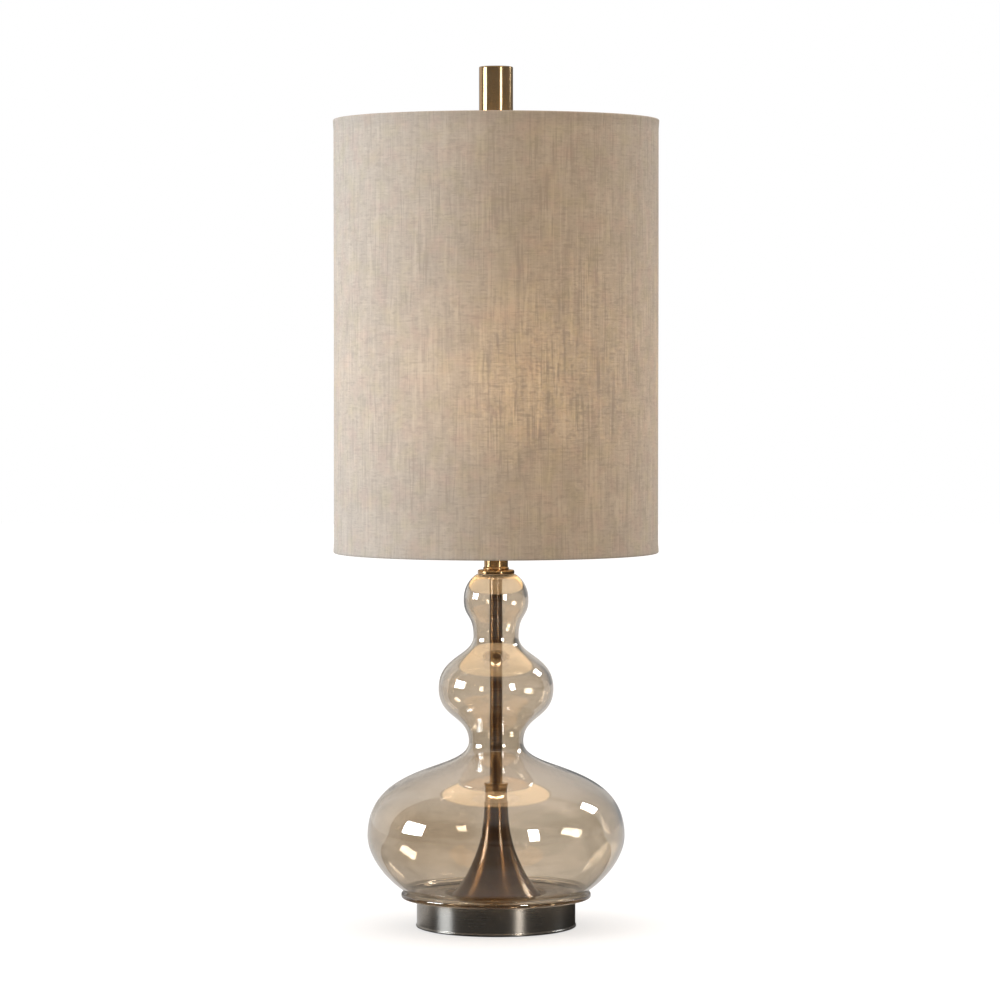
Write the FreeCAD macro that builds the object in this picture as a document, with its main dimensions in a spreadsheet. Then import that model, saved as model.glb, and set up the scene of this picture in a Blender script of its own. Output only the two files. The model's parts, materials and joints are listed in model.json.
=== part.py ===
"""Candlestick table lamp: three-bulb blown glass body on a metal foot, lit by a bulb
inside a tall linen drum shade that a harp and a finial carry.

Every piece is its own object. Millimetres, +Z up, origin at the centre of the foot on
the table. The front of the lamp faces -Y, the switch knob points along +X, the harp
stands in the YZ plane and the cord inlet is at the back, on +Y.
"""

import FreeCAD, Part
import math
import os

import Sketcher
from FreeCAD import Placement, Rotation, Vector

doc = FreeCAD.newDocument("CandlestickLamp")

# --------------------------------------------------------------------------- sizes
# Driving dimensions. All are millimetres, apart from the fullness values, which are
# shares of the height between two stations of a curve and say how round it is there.
SIZES = {
    # clearances
    "fit_gap": 0.05,  # radial gap of pressed and turning fits
    "slip_gap": 0.3,  # radial gap of parts that drop together loosely
    # foot
    "foot_diameter": 149.2,
    "foot_height": 27.0,
    "foot_wall": 1.5,
    "foot_edge": 1.2,  # chamfer round the top edge
    "foot_lip_width": 0.8,  # how far the rolled lower lip stands out
    "foot_lip_height": 2.0,
    "foot_lift": 0.6,  # lower edge of the shell above the table
    "felt_thickness": 2.0,
    "board_thickness": 2.0,
    "weight_thickness": 15.5,
    "weight_recess_depth": 9.0,
    "weight_recess_margin": 4.0,  # recess beyond the washer, all round
    "inlet_height": 14.0,
    "bushing_bore": 7.0,
    "bushing_diameter": 11.0,
    "bushing_flange_diameter": 15.0,
    "bushing_flange_thickness": 1.5,
    "bushing_length": 9.0,
    "channel_margin": 1.5,  # weight's cord channel beyond the bushing, each side
    # central rod and its fasteners
    "rod_diameter": 9.7,
    "rod_bore": 6.4,
    "rod_overrun": 1.5,  # rod beyond a nut
    "nut_width": 14.0,
    "nut_thickness": 3.5,
    "washer_diameter": 26.0,
    "washer_thickness": 1.2,
    # glass body, from its base up
    "seat_gasket_thickness": 0.8,
    "seat_gasket_width": 12.0,
    "seat_gasket_inset": 4.0,  # gasket in from the edge of the foot
    "glass_wall": 3.0,
    "glass_flange_diameter": 178.5,
    "glass_flange_thickness": 4.5,
    "glass_flange_edge": 1.8,  # rounding of the flange's rim
    "glass_floor_clearance": 5.0,  # floor hole round the horn
    "waist_diameter": 164.0,
    "big_bulb_lower_height": 54.2,
    "big_bulb_diameter": 242.0,
    "big_bulb_upper_height": 88.0,
    "lower_neck_diameter": 51.2,
    "middle_bulb_lower_height": 50.0,
    "middle_bulb_diameter": 108.0,
    "middle_bulb_upper_height": 49.0,
    "upper_neck_diameter": 42.4,
    "top_bulb_lower_height": 34.0,
    "top_bulb_diameter": 60.8,
    "top_bulb_upper_height": 24.0,
    "glass_rim_diameter": 37.0,
    "glass_mouth_diameter": 21.0,
    "waist_reach": 14.0,
    "waist_rise": 6.0,
    "big_bulb_lower_fullness": 0.44,
    "big_bulb_upper_fullness": 0.785,
    "lower_neck_lower_fullness": 0.34,
    "lower_neck_upper_fullness": 0.49,
    "middle_bulb_lower_fullness": 0.57,
    "middle_bulb_upper_fullness": 0.62,
    "upper_neck_lower_fullness": 0.38,
    "upper_neck_upper_fullness": 0.61,
    "top_bulb_lower_fullness": 0.48,
    "top_bulb_upper_fullness": 0.5,
    "rim_reach": 6.5,
    "rim_drop": 4.5,
    # flared horn, collar and tube inside the glass
    "horn_foot_diameter": 85.2,
    "horn_foot_height": 1.6,
    "horn_throat_diameter": 22.0,
    "horn_height": 90.0,
    "horn_wall": 1.0,
    "horn_throat_fullness": 0.51,
    "horn_foot_reach": 13.0,
    "collar_diameter": 20.6,
    "collar_height": 18.0,
    "collar_ring_width": 0.9,
    "collar_ring_height": 2.2,
    "collar_socket_depth": 3.0,
    "collar_spigot_depth": 4.0,
    "centre_tube_diameter": 12.0,
    "centre_tube_wall": 0.8,
    # brass neck above the glass
    "neck_gasket_thickness": 0.8,
    "neck_gasket_inset": 1.6,  # gasket in from the glass rim
    "neck_cap_diameter": 34.4,
    "neck_cap_thickness": 3.6,
    "neck_cap_edge": 0.8,
    "neck_spigot_depth": 5.0,
    "neck_tube_diameter": 22.4,
    "neck_tube_wall": 1.2,
    "neck_tube_height": 60.0,
    "neck_bead_width": 0.8,
    "neck_bead_height": 2.4,
    "neck_plug_diameter": 24.4,
    "neck_plug_thickness": 2.5,
    "neck_plug_depth": 3.0,
    # harp
    "saddle_width": 14.0,
    "saddle_thickness": 1.6,
    "saddle_span": 56.0,  # between the two posts
    "saddle_overhang": 3.8,  # strap beyond the centre of a post
    "post_height": 10.0,
    "harp_wire_diameter": 3.8,
    "harp_height": 343.0,  # saddle to shade seat
    "harp_leg_straight": 36.0,
    "harp_width": 104.0,
    "harp_flare_height": 52.0,
    "harp_flare_bend": 34.0,
    "harp_shoulder_bend": 44.0,
    "ferrule_diameter": 6.8,
    "ferrule_length": 20.0,
    "boss_diameter": 11.0,
    "boss_height": 8.0,
    "swivel_play": 0.2,
    "swivel_diameter": 5.0,
    "swivel_head_diameter": 8.0,
    "swivel_head_thickness": 1.6,
    "stud_flange_diameter": 16.0,
    "stud_flange_thickness": 1.8,
    "stud_diameter": 6.35,
    "stud_length": 14.0,
    "stud_tip_chamfer": 0.8,
    # lamp holder and switch
    "hub_diameter": 14.4,
    "hub_height": 7.0,
    "holder_cap_diameter": 38.6,
    "holder_cap_height": 21.0,
    "holder_cap_slope": 6.0,
    "holder_cap_wall": 0.8,
    "holder_shell_wall": 0.6,
    "holder_shell_height": 49.0,
    "holder_shell_overlap": 7.0,
    "holder_bead_width": 0.7,
    "holder_bead_height": 2.1,
    "liner_wall": 0.8,
    "core_diameter": 29.6,
    "core_height": 26.0,
    "core_flat": 11.6,  # flat's distance from the axis
    "wire_way_height": 5.0,
    "screw_shell_height": 25.0,
    "screw_shell_wall": 0.5,
    "contact_diameter": 7.0,
    "contact_thickness": 0.8,
    "terminal_head_diameter": 6.0,
    "terminal_head_thickness": 1.6,
    "terminal_shank_diameter": 3.0,
    "terminal_shank_length": 4.0,
    "terminal_slot_width": 1.0,
    "terminal_slot_depth": 0.8,
    "terminal_drop": 16.0,  # below the top of the core
    "set_screw_diameter": 3.0,
    "set_screw_length": 3.4,
    "switch_drop": 8.0,  # switch axis below the top of the core
    "switch_shaft_diameter": 4.0,
    "switch_shaft_start": 4.0,
    "switch_shaft_hole": 6.4,
    "knob_start": 24.0,
    "knob_hub_diameter": 9.0,
    "knob_hub_length": 7.0,
    "knob_paddle_length": 12.0,
    "knob_paddle_width": 13.0,
    "knob_paddle_thickness": 3.4,
    "knob_paddle_rounding": 1.5,
    # light bulb
    "bulb_tip_diameter": 8.4,
    "bulb_tip_height": 1.8,
    "bulb_insulator_height": 3.4,
    "bulb_insulator_diameter": 24.2,
    "bulb_base_diameter": 26.2,
    "bulb_base_height": 22.0,
    "bulb_thread_pitch": 3.6,
    "bulb_thread_depth": 0.6,
    "bulb_base_wall": 0.8,
    "bulb_glass_wall": 0.8,
    "bulb_neck_diameter": 26.0,
    "bulb_diameter": 60.0,
    "bulb_lower_height": 57.0,
    "bulb_neck_fullness": 0.3,
    "bulb_belly_fullness": 0.48,
    "bulb_post_diameter": 9.0,
    "bulb_post_height": 42.0,
    "bulb_post_rounding": 2.2,
    # shade
    "shade_diameter": 305.0,
    "shade_height": 405.0,
    "shade_drop": 15.6,  # shade's top above the seat on the harp
    "shade_rim_width": 0.6,  # how far the rolled rims stand out
    "shade_rim_height": 5.0,
    "shade_lip_depth": 2.0,
    "fabric_thickness": 0.7,
    "liner_thickness": 0.5,
    "ring_wire_diameter": 3.2,
    "arm_wire_diameter": 3.0,
    "arm_count": 3,
    "arm_bend": 20.0,
    "hub_ring_diameter": 25.4,
    "hub_ring_bore": 11.0,
    "hub_ring_thickness": 1.6,
    # finial
    "finial_diameter": 31.8,
    "finial_height": 63.5,
    "finial_wall": 1.2,
    "finial_top_thickness": 2.0,
    "finial_edge": 0.7,
    "finial_foot_diameter": 19.0,
    "finial_foot_height": 3.0,
    "finial_plug_thickness": 8.0,
    "finial_bore_depth": 16.0,
}

SAME_PLACE = 1e-4  # two radii or heights nearer than this are the same
LEAST_CUT = 1e-3  # a pocket that takes away less than this, in cubic millimetres, missed

sheet = doc.addObject("Spreadsheet::Sheet", "Sizes")
for row, (alias, number) in enumerate(SIZES.items(), start=1):
    sheet.set(f"A{row}", alias)
    sheet.set(f"B{row}", str(number))
    sheet.setAlias(f"B{row}", alias)
doc.recompute()


class Formula:
    """A length as a formula on the sheet's cells, along with the number it comes to."""

    def __init__(self, text, number):
        self.text = text
        self.number = number

    def __str__(self):
        return self.text

    def __add__(self, other):
        return Formula(f"({self} + {other})", self.number + value(other))

    def __radd__(self, other):
        return Formula(f"({other} + {self})", value(other) + self.number)

    def __sub__(self, other):
        return Formula(f"({self} - {other})", self.number - value(other))

    def __rsub__(self, other):
        return Formula(f"({other} - {self})", value(other) - self.number)

    def __mul__(self, other):
        return Formula(f"({self} * {other})", self.number * value(other))

    def __rmul__(self, other):
        return Formula(f"({other} * {self})", value(other) * self.number)

    def __truediv__(self, other):
        return Formula(f"({self} / {other})", self.number / value(other))

    def __neg__(self):
        return Formula(f"(0 - {self})", -self.number)


class Cells:
    """Gives each cell of the sheet as a Formula: size.foot_height."""

    def __getattr__(self, alias):
        return Formula(f"Sizes.{alias}", float(sheet.get(alias)))


size = Cells()


def value(length):
    """A formula's number; a plain number stays as it is."""
    return length.number if isinstance(length, Formula) else float(length)


def bind(target, prop, length):
    """Sets a property from a formula, so that it follows the sheet."""
    target.setExpression(prop, str(length))


def radius(diameter):
    return diameter / 2


# ------------------------------------------------------------------------ builders
def origin_plane(body, role):
    """One of a body's own origin planes, such as XY_Plane."""
    return next(f for f in body.Origin.OriginFeatures if f.Role == role)


def new_sketch(body, name, role, offset=None):
    """A sketch on one of a body's origin planes, or at an offset along its normal."""
    sketch = body.newObject("Sketcher::SketchObject", name)
    sketch.AttachmentSupport = [(origin_plane(body, role), "")]
    sketch.MapMode = "FlatFace"
    if offset is not None:
        bind(sketch, "AttachmentOffset.Base.z", offset)
    return sketch


def draw_polygon(sketch, corners):
    """A closed outline through corners, each placed by two bound distances."""
    places = [Vector(value(x), value(y), 0) for x, y in corners]
    for start, end in zip(places, places[1:] + places[:1]):
        sketch.addGeometry(Part.LineSegment(start, end), False)
    for line in range(len(corners)):
        sketch.addConstraint(
            Sketcher.Constraint("Coincident", line, 2, (line + 1) % len(corners), 1)
        )
    for line, corner in enumerate(corners):
        for kind, length in zip(("DistanceX", "DistanceY"), corner):
            if isinstance(length, Formula):
                place = Sketcher.Constraint(kind, -1, 1, line, 1, value(length))
                number = sketch.addConstraint(place)
                bind(sketch, f"Constraints[{number}]", length)
            else:  # a plain zero: the corner lies on an axis
                axis = -2 if kind == "DistanceX" else -1
                on_axis = Sketcher.Constraint("PointOnObject", line, 1, axis)
                sketch.addConstraint(on_axis)


def turned(name, outline):
    """A body turned about the Z axis from an outline of (radius, height) corners."""
    body = doc.addObject("PartDesign::Body", name)
    sketch = new_sketch(body, f"{name}_outline", "XZ_Plane")
    draw_polygon(sketch, outline)
    turn = body.newObject("PartDesign::Revolution", f"{name}_turn")
    turn.Profile = sketch
    turn.ReferenceAxis = (sketch, ["V_Axis"])
    turn.Angle = 360.0
    sketch.Visibility = False
    doc.recompute()
    return body


def tube(name, inner, outer, bottom, top):
    """A turned ring, washer, disc or tube; inner is None for a solid disc."""
    inside = 0 if inner is None else inner
    return turned(name, [(inside, bottom), (outer, bottom), (outer, top), (inside, top)])


def circle_edges(shape, rings):
    """Names of the circular edges of a shape that lie at the given (radius, height)."""
    wanted = [(value(r), value(z)) for r, z in rings]
    found = []
    for number, edge in enumerate(shape.Edges, start=1):
        if not isinstance(edge.Curve, Part.Circle):
            continue
        centre = edge.Curve.Center
        for r, z in wanted:
            if abs(edge.Curve.Radius - r) < SAME_PLACE and abs(centre.z - z) < SAME_PLACE:
                found.append(f"Edge{number}")
    if len(found) < len(wanted):
        raise ValueError(f"found {found} of the edges at {wanted}")
    return found


def dress(body, kind, rings, amount):
    """Rounds (Fillet) or bevels (Chamfer) a body's circular edges at (radius, height)."""
    base = body.Tip
    feature = body.newObject(f"PartDesign::{kind}", f"{body.Name}_{kind.lower()}")
    feature.Base = (base, circle_edges(base.Shape, rings))
    bind(feature, "Radius" if kind == "Fillet" else "Size", amount)
    doc.recompute()


def pocket(body, name, role, corners=None, hole=None, depth=None, offset=None, reverse=False):
    """Cuts a polygon, or a hole = (height, diameter) on the plane's upright, out of a body.

    The cut runs against the plane's normal, or along it where reverse is set, through
    everything where depth is None. It has to take material away.
    """
    before = body.Tip.Shape.Volume
    sketch = new_sketch(body, f"{name}_sketch", role, offset)
    if corners:
        draw_polygon(sketch, corners)
    else:
        y, diameter = hole
        centre = Vector(0, value(y), 0)
        sketch.addGeometry(Part.Circle(centre, Vector(0, 0, 1), value(radius(diameter))))
        size_rule = Sketcher.Constraint("Diameter", 0, value(diameter))
        bind(sketch, f"Constraints[{sketch.addConstraint(size_rule)}]", diameter)
        sketch.addConstraint(Sketcher.Constraint("PointOnObject", 0, 3, -2))
        height = Sketcher.Constraint("DistanceY", -1, 1, 0, 3, value(y))
        bind(sketch, f"Constraints[{sketch.addConstraint(height)}]", y)
    cut = body.newObject("PartDesign::Pocket", name)
    cut.Profile = sketch
    cut.Reversed = reverse
    if depth is None:
        cut.Type = "ThroughAll"
    else:
        cut.Type = "Length"
        bind(cut, "Length", depth)
    sketch.Visibility = False
    doc.recompute()
    if body.Tip.Shape.Volume > before - LEAST_CUT:
        raise ValueError(f"{name} cuts nothing out of {body.Label}")


def cylinder(name, diameter, height, centre, axis="Z"):
    """A Part cylinder from its base centre, along Z, X or -X."""
    shape = doc.addObject("Part::Cylinder", name)
    bind(shape, "Radius", radius(diameter))
    bind(shape, "Height", height)
    turns = {
        "Z": Rotation(),
        "X": Rotation(Vector(0, 1, 0), 90),
        "-X": Rotation(Vector(0, 1, 0), -90),
    }
    shape.Placement = Placement(Vector(), turns[axis])
    place(shape, centre)
    return shape


def box(name, lengths, corner):
    """A Part box of three lengths from its lowest corner."""
    shape = doc.addObject("Part::Box", name)
    for prop, length in zip(("Length", "Width", "Height"), lengths):
        bind(shape, prop, length)
    place(shape, corner)
    return shape


def place(shape, corner):
    """Binds the parts of an object's position that aren't zero."""
    for axis, length in zip("xyz", corner):
        if isinstance(length, Formula):
            bind(shape, f"Placement.Base.{axis}", length)


def cut(name, base, tool):
    result = doc.addObject("Part::Cut", name)
    result.Base, result.Tool = base, tool
    return result


def fuse(name, shapes):
    result = doc.addObject("Part::MultiFuse", name)
    result.Shapes = shapes
    return result


def group(name, shapes):
    """Identical or matching solids that share one node."""
    result = doc.addObject("Part::Compound", name)
    result.Links = shapes
    return result


def feature(name, shape):
    """An object whose shape is worked out here from the sheet's sizes."""
    result = doc.addObject("Part::Feature", name)
    result.Shape = shape
    return result


def hex_nut(name, bottom):
    """A hexagon nut on the central rod, standing on a height."""
    prism = doc.addObject("Part::Prism", f"{name}_blank")
    prism.Polygon = 6
    bind(prism, "Circumradius", size.nut_width / math.sqrt(3))
    bind(prism, "Height", size.nut_thickness)
    place(prism, (0, 0, bottom))
    bore = size.rod_diameter + 2 * size.fit_gap
    return cut(name, prism, cylinder(f"{name}_bore", bore, size.nut_thickness, (0, 0, bottom)))


def terminal_screw(name):
    """A slotted cheese-head screw along Z, its head's underside at the origin."""
    length = size.terminal_shank_length
    across = size.terminal_head_diameter
    top = size.terminal_head_thickness
    shank = cylinder(f"{name}_shank", size.terminal_shank_diameter, length, (0, 0, -length))
    head = cylinder(f"{name}_head", across, top, (0, 0, 0))
    slot = box(
        f"{name}_slot",
        (across, size.terminal_slot_width, size.terminal_slot_depth),
        (-across / 2, -size.terminal_slot_width / 2, top - size.terminal_slot_depth),
    )
    return cut(name, fuse(f"{name}_blank", [head, shank]), slot)


def rounded_path(points, bends):
    """A wire through points whose inner corners are arcs of the given bend radii."""
    corners = [Vector(*(value(c) for c in point)) for point in points]
    edges, start = [], corners[0]
    for before, corner, after, bend in zip(corners, corners[1:], corners[2:], bends):
        arriving = (corner - before).normalize()
        leaving = (after - corner).normalize()
        half_turn = arriving.getAngle(leaving) / 2
        trim = value(bend) * math.tan(half_turn)
        first, last = corner - arriving * trim, corner + leaving * trim
        outward = (arriving - leaving).normalize()
        rise = value(bend) * (1 / math.cos(half_turn) - 1)
        middle = corner - outward * rise
        edges.append(Part.LineSegment(start, first).toShape())
        edges.append(Part.Arc(first, middle, last).toShape())
        start = last
    edges.append(Part.LineSegment(start, corners[-1]).toShape())
    return Part.Wire(edges)


def bent_wire(name, points, bends, diameter, heading):
    """A round wire swept along a rounded path that sets out along Z or X."""
    path = feature(f"{name}_path", rounded_path(points, bends))
    section = doc.addObject("Part::Circle", f"{name}_section")
    bind(section, "Radius", radius(diameter))
    if heading == "X":
        section.Placement = Placement(Vector(), Rotation(Vector(0, 1, 0), 90))
    place(section, points[0])
    sweep = doc.addObject("Part::Sweep", name)
    sweep.Sections = [section]
    sweep.Spine = (path, [f"Edge{n + 1}" for n in range(len(path.Shape.Edges))])
    sweep.Solid = True
    return sweep


def curve(start, start_handle, end_handle, end):
    """A Bezier edge in the XZ plane through (radius, height) points."""
    poles = [Vector(value(r), 0, value(z)) for r, z in (start, start_handle, end_handle, end)]
    bezier = Part.BezierCurve()
    bezier.setPoles(poles)
    return bezier.toShape()


def straight(start, end):
    """A straight edge in the XZ plane between (radius, height) points."""
    ends = [Vector(value(r), 0, value(z)) for r, z in (start, end)]
    return Part.LineSegment(*ends).toShape()


def revolve(face):
    """Turns a face in the XZ plane about Z, with its offset curves made splines first."""
    edges = []
    for edge in face.OuterWire.Edges:
        if isinstance(edge.Curve, Part.OffsetCurve):
            spline = edge.Curve.toBSpline(edge.FirstParameter, edge.LastParameter)
            edge = spline.toShape()
        edges.append(edge)
    outline = Part.Wire(Part.__sortEdges__(edges))
    return Part.Face(outline).revolve(Vector(), Vector(0, 0, 1), 360)


def blown(edges, wall):
    """A hollow of even wall, turned from the edges of its outer half section.

    The edges run from the axis at the bottom to the axis at the top.
    """
    mirrored = [edge.mirror(Vector(), Vector(1, 0, 0)) for edge in edges]
    outer = Part.Face(Part.Wire(Part.__sortEdges__(edges + mirrored)))
    inner = Part.Face(outer.OuterWire.makeOffset2D(-value(wall)))
    reach = outer.BoundBox.DiagonalLength + outer.BoundBox.ZMax
    right_half = Part.makeBox(reach, reach, reach, Vector(0, -reach / 2, 0))
    sections = [face.common(right_half).Faces[0] for face in (outer, inner)]
    solid, hollow = (revolve(section) for section in sections)
    return solid.cut(hollow)


def bore(diameter, bottom, top):
    """A Part cylinder shape on the Z axis, to cut with."""
    height = value(top) - value(bottom)
    return Part.makeCylinder(value(radius(diameter)), height, Vector(0, 0, value(bottom)))


# ------------------------------------------------------------------ heights up the lamp
rod_radius = radius(size.rod_diameter)
rod_hole = rod_radius + size.fit_gap

plate_top = size.foot_height
plate_underside = plate_top - size.foot_wall
weight_underside = plate_underside - size.weight_thickness
board_top = size.felt_thickness + size.board_thickness
recess_top = weight_underside + size.weight_recess_depth
foot_nut_bottom = recess_top - size.washer_thickness - size.nut_thickness
rod_bottom = foot_nut_bottom - size.rod_overrun

glass_base = plate_top + size.seat_gasket_thickness
waist_level = glass_base + size.glass_flange_thickness
big_bulb_level = waist_level + size.big_bulb_lower_height
lower_neck_level = big_bulb_level + size.big_bulb_upper_height
middle_bulb_level = lower_neck_level + size.middle_bulb_lower_height
upper_neck_level = middle_bulb_level + size.middle_bulb_upper_height
top_bulb_level = upper_neck_level + size.top_bulb_lower_height
glass_top = top_bulb_level + size.top_bulb_upper_height

horn_top = plate_top + size.horn_height
collar_top = horn_top + size.collar_height
neck_cap_bottom = glass_top + size.neck_gasket_thickness
neck_cap_top = neck_cap_bottom + size.neck_cap_thickness
neck_tube_top = neck_cap_top + size.neck_tube_height
saddle_bottom = neck_tube_top + size.neck_plug_thickness
saddle_top = saddle_bottom + size.saddle_thickness

holder_floor = saddle_top + size.hub_height + size.holder_cap_wall
core_top = holder_floor + size.core_height
switch_level = core_top - size.switch_drop
bulb_bottom = core_top + size.contact_thickness
bulb_base_bottom = bulb_bottom + size.bulb_tip_height + size.bulb_insulator_height
bulb_glass_bottom = bulb_base_bottom + size.bulb_base_height

post_top = saddle_top + size.post_height
shade_seat = saddle_bottom + size.harp_height
boss_top = shade_seat - size.stud_flange_thickness - size.swivel_play
boss_bottom = boss_top - size.boss_height
stud_top = shade_seat + size.stud_length
spider_top = shade_seat + size.hub_ring_thickness
shade_top = shade_seat + size.shade_drop
shade_bottom = shade_top - size.shade_height
finial_top = spider_top + size.finial_height


# ----------------------------------------------------------------------------- foot
def build_foot():
    outer = radius(size.foot_diameter)
    inner = outer - size.foot_wall
    lip = outer + size.foot_lip_width
    lip_top = size.foot_lift + size.foot_lip_height
    shell = turned(
        "foot_shell",
        [
            (inner, size.foot_lift),
            (lip, size.foot_lift),
            (lip, size.foot_lift + size.foot_lip_height / 2),
            (outer, lip_top),
            (outer, plate_top),
            (rod_hole, plate_top),
            (rod_hole, plate_underside),
            (inner, plate_underside),
        ],
    )
    dress(shell, "Chamfer", [(outer, plate_top)], size.foot_edge)
    hole = (size.inlet_height, size.bushing_diameter + 2 * size.fit_gap)
    pocket(shell, "cord_hole", "XZ_Plane", hole=hole)

    bushing = turned(
        "cord_bushing",
        [
            (radius(size.bushing_bore), -size.bushing_length),
            (radius(size.bushing_diameter), -size.bushing_length),
            (radius(size.bushing_diameter), 0),
            (radius(size.bushing_flange_diameter), 0),
            (radius(size.bushing_flange_diameter), size.bushing_flange_thickness),
            (radius(size.bushing_bore), size.bushing_flange_thickness),
        ],
    )
    bushing.Placement = Placement(Vector(), Rotation(Vector(1, 0, 0), -90))
    place(bushing, (0, outer, size.inlet_height))

    weight_radius = inner - size.slip_gap
    recess = radius(size.washer_diameter) + size.weight_recess_margin
    weight = turned(
        "base_weight",
        [
            (recess, weight_underside),
            (weight_radius, weight_underside),
            (weight_radius, plate_underside),
            (rod_hole, plate_underside),
            (rod_hole, recess_top),
            (recess, recess_top),
        ],
    )
    half_channel = radius(size.bushing_diameter) + size.channel_margin
    channel_top = size.inlet_height + half_channel
    channel = [
        (-half_channel, weight_underside),
        (half_channel, weight_underside),
        (half_channel, channel_top),
        (-half_channel, channel_top),
    ]
    pocket(weight, "cord_channel", "XZ_Plane", corners=channel)

    lining = inner - size.slip_gap
    tube("bottom_board", None, lining, size.felt_thickness, board_top)
    tube("felt_pad", None, lining, 0, size.felt_thickness)


def build_rod():
    """Hollow threaded rod that clamps the whole stem, with its nuts and washer."""
    holder_rod_top = saddle_top + size.hub_height
    tube("threaded_rod", radius(size.rod_bore), rod_radius, rod_bottom, holder_rod_top)
    washer_bottom = recess_top - size.washer_thickness
    tube("foot_washer", rod_hole, radius(size.washer_diameter), washer_bottom, recess_top)
    hex_nut("foot_nut", foot_nut_bottom)
    hex_nut("neck_nut", neck_cap_top)


# ---------------------------------------------------------------------------- glass
def build_glass():
    seat_outer = radius(size.foot_diameter) - size.seat_gasket_inset
    seat_inner = seat_outer - size.seat_gasket_width
    tube("seat_gasket", seat_inner, seat_outer, plate_top, glass_base)

    waist = radius(size.waist_diameter)
    big = radius(size.big_bulb_diameter)
    low_neck = radius(size.lower_neck_diameter)
    middle = radius(size.middle_bulb_diameter)
    high_neck = radius(size.upper_neck_diameter)
    top = radius(size.top_bulb_diameter)
    rim = radius(size.glass_rim_diameter)

    def bulge(lower, lower_fullness, upper, upper_fullness):
        """Curve between two stations where the wall is upright."""
        (r0, z0), (r1, z1) = lower, upper
        height = z1 - z0
        handles = (r0, z0 + height * lower_fullness), (r1, z1 - height * upper_fullness)
        return curve(lower, *handles, upper)

    waist_handle = (waist + size.waist_reach, waist_level + size.waist_rise)
    big_handle = (big, big_bulb_level - size.big_bulb_lower_height * size.big_bulb_lower_fullness)
    top_handle = (top, top_bulb_level + size.top_bulb_upper_height * size.top_bulb_upper_fullness)
    rim_handle = (rim + size.rim_reach, glass_top - size.rim_drop)
    profile = [
        straight((0, glass_base), (waist, glass_base)),
        straight((waist, glass_base), (waist, waist_level)),
        curve((waist, waist_level), waist_handle, big_handle, (big, big_bulb_level)),
        bulge(
            (big, big_bulb_level),
            size.big_bulb_upper_fullness,
            (low_neck, lower_neck_level),
            size.lower_neck_lower_fullness,
        ),
        bulge(
            (low_neck, lower_neck_level),
            size.lower_neck_upper_fullness,
            (middle, middle_bulb_level),
            size.middle_bulb_lower_fullness,
        ),
        bulge(
            (middle, middle_bulb_level),
            size.middle_bulb_upper_fullness,
            (high_neck, upper_neck_level),
            size.upper_neck_lower_fullness,
        ),
        bulge(
            (high_neck, upper_neck_level),
            size.upper_neck_upper_fullness,
            (top, top_bulb_level),
            size.top_bulb_lower_fullness,
        ),
        curve((top, top_bulb_level), top_handle, rim_handle, (rim, glass_top)),
        straight((rim, glass_top), (0, glass_top)),
    ]
    body = blown(profile, size.glass_wall)

    flange_edge = value(size.glass_flange_edge)
    flange = bore(size.glass_flange_diameter, glass_base, waist_level)
    flange = flange.makeFillet(flange_edge, [e for e in flange.Edges if e.Closed])
    flange = flange.cut(bore(size.waist_diameter - size.glass_wall, glass_base, waist_level))
    floor_hole = size.horn_foot_diameter + 2 * size.glass_floor_clearance
    floor_top = glass_base + size.glass_wall
    body = body.fuse(flange).removeSplitter()
    body = body.cut(bore(floor_hole, glass_base, floor_top))
    body = body.cut(bore(size.glass_mouth_diameter, glass_top - size.glass_wall, glass_top))
    feature("glass_body", body.Solids[0])


# ------------------------------------------------------------------ inside the glass
def build_stem():
    throat = radius(size.horn_throat_diameter)
    rim = radius(size.horn_foot_diameter)
    flare_bottom = plate_top + size.horn_foot_height
    flare_height = horn_top - flare_bottom
    throat_handle = (throat, horn_top - flare_height * size.horn_throat_fullness)
    rim_handle = (rim - size.horn_foot_reach, flare_bottom + size.horn_foot_reach)
    flare = curve((throat, horn_top), throat_handle, rim_handle, (rim, flare_bottom))
    edge = straight((rim, flare_bottom), (rim, plate_top))
    section = Part.Wire([flare, edge]).makeOffset2D(-value(size.horn_wall), 0, True, True)
    feature("horn", revolve(section.Faces[0]))

    collar = radius(size.collar_diameter)
    ring = collar + size.collar_ring_width
    spigot = throat - size.horn_wall - size.fit_gap
    tube_radius = radius(size.centre_tube_diameter)
    pocket_radius = tube_radius + size.fit_gap
    pocket_floor = collar_top - size.collar_socket_depth
    lower_ring_top = horn_top + size.collar_ring_height
    upper_ring_bottom = collar_top - size.collar_ring_height
    turned(
        "horn_collar",
        [
            (rod_hole, horn_top - size.collar_spigot_depth),
            (spigot, horn_top - size.collar_spigot_depth),
            (spigot, horn_top),
            (ring, horn_top),
            (ring, lower_ring_top),
            (collar, lower_ring_top),
            (collar, upper_ring_bottom),
            (ring, upper_ring_bottom),
            (ring, collar_top),
            (pocket_radius, collar_top),
            (pocket_radius, pocket_floor),
            (rod_hole, pocket_floor),
        ],
    )
    tube_top = neck_cap_bottom - size.neck_spigot_depth
    inner = tube_radius - size.centre_tube_wall
    tube("centre_tube", inner, tube_radius, pocket_floor, tube_top)


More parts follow.
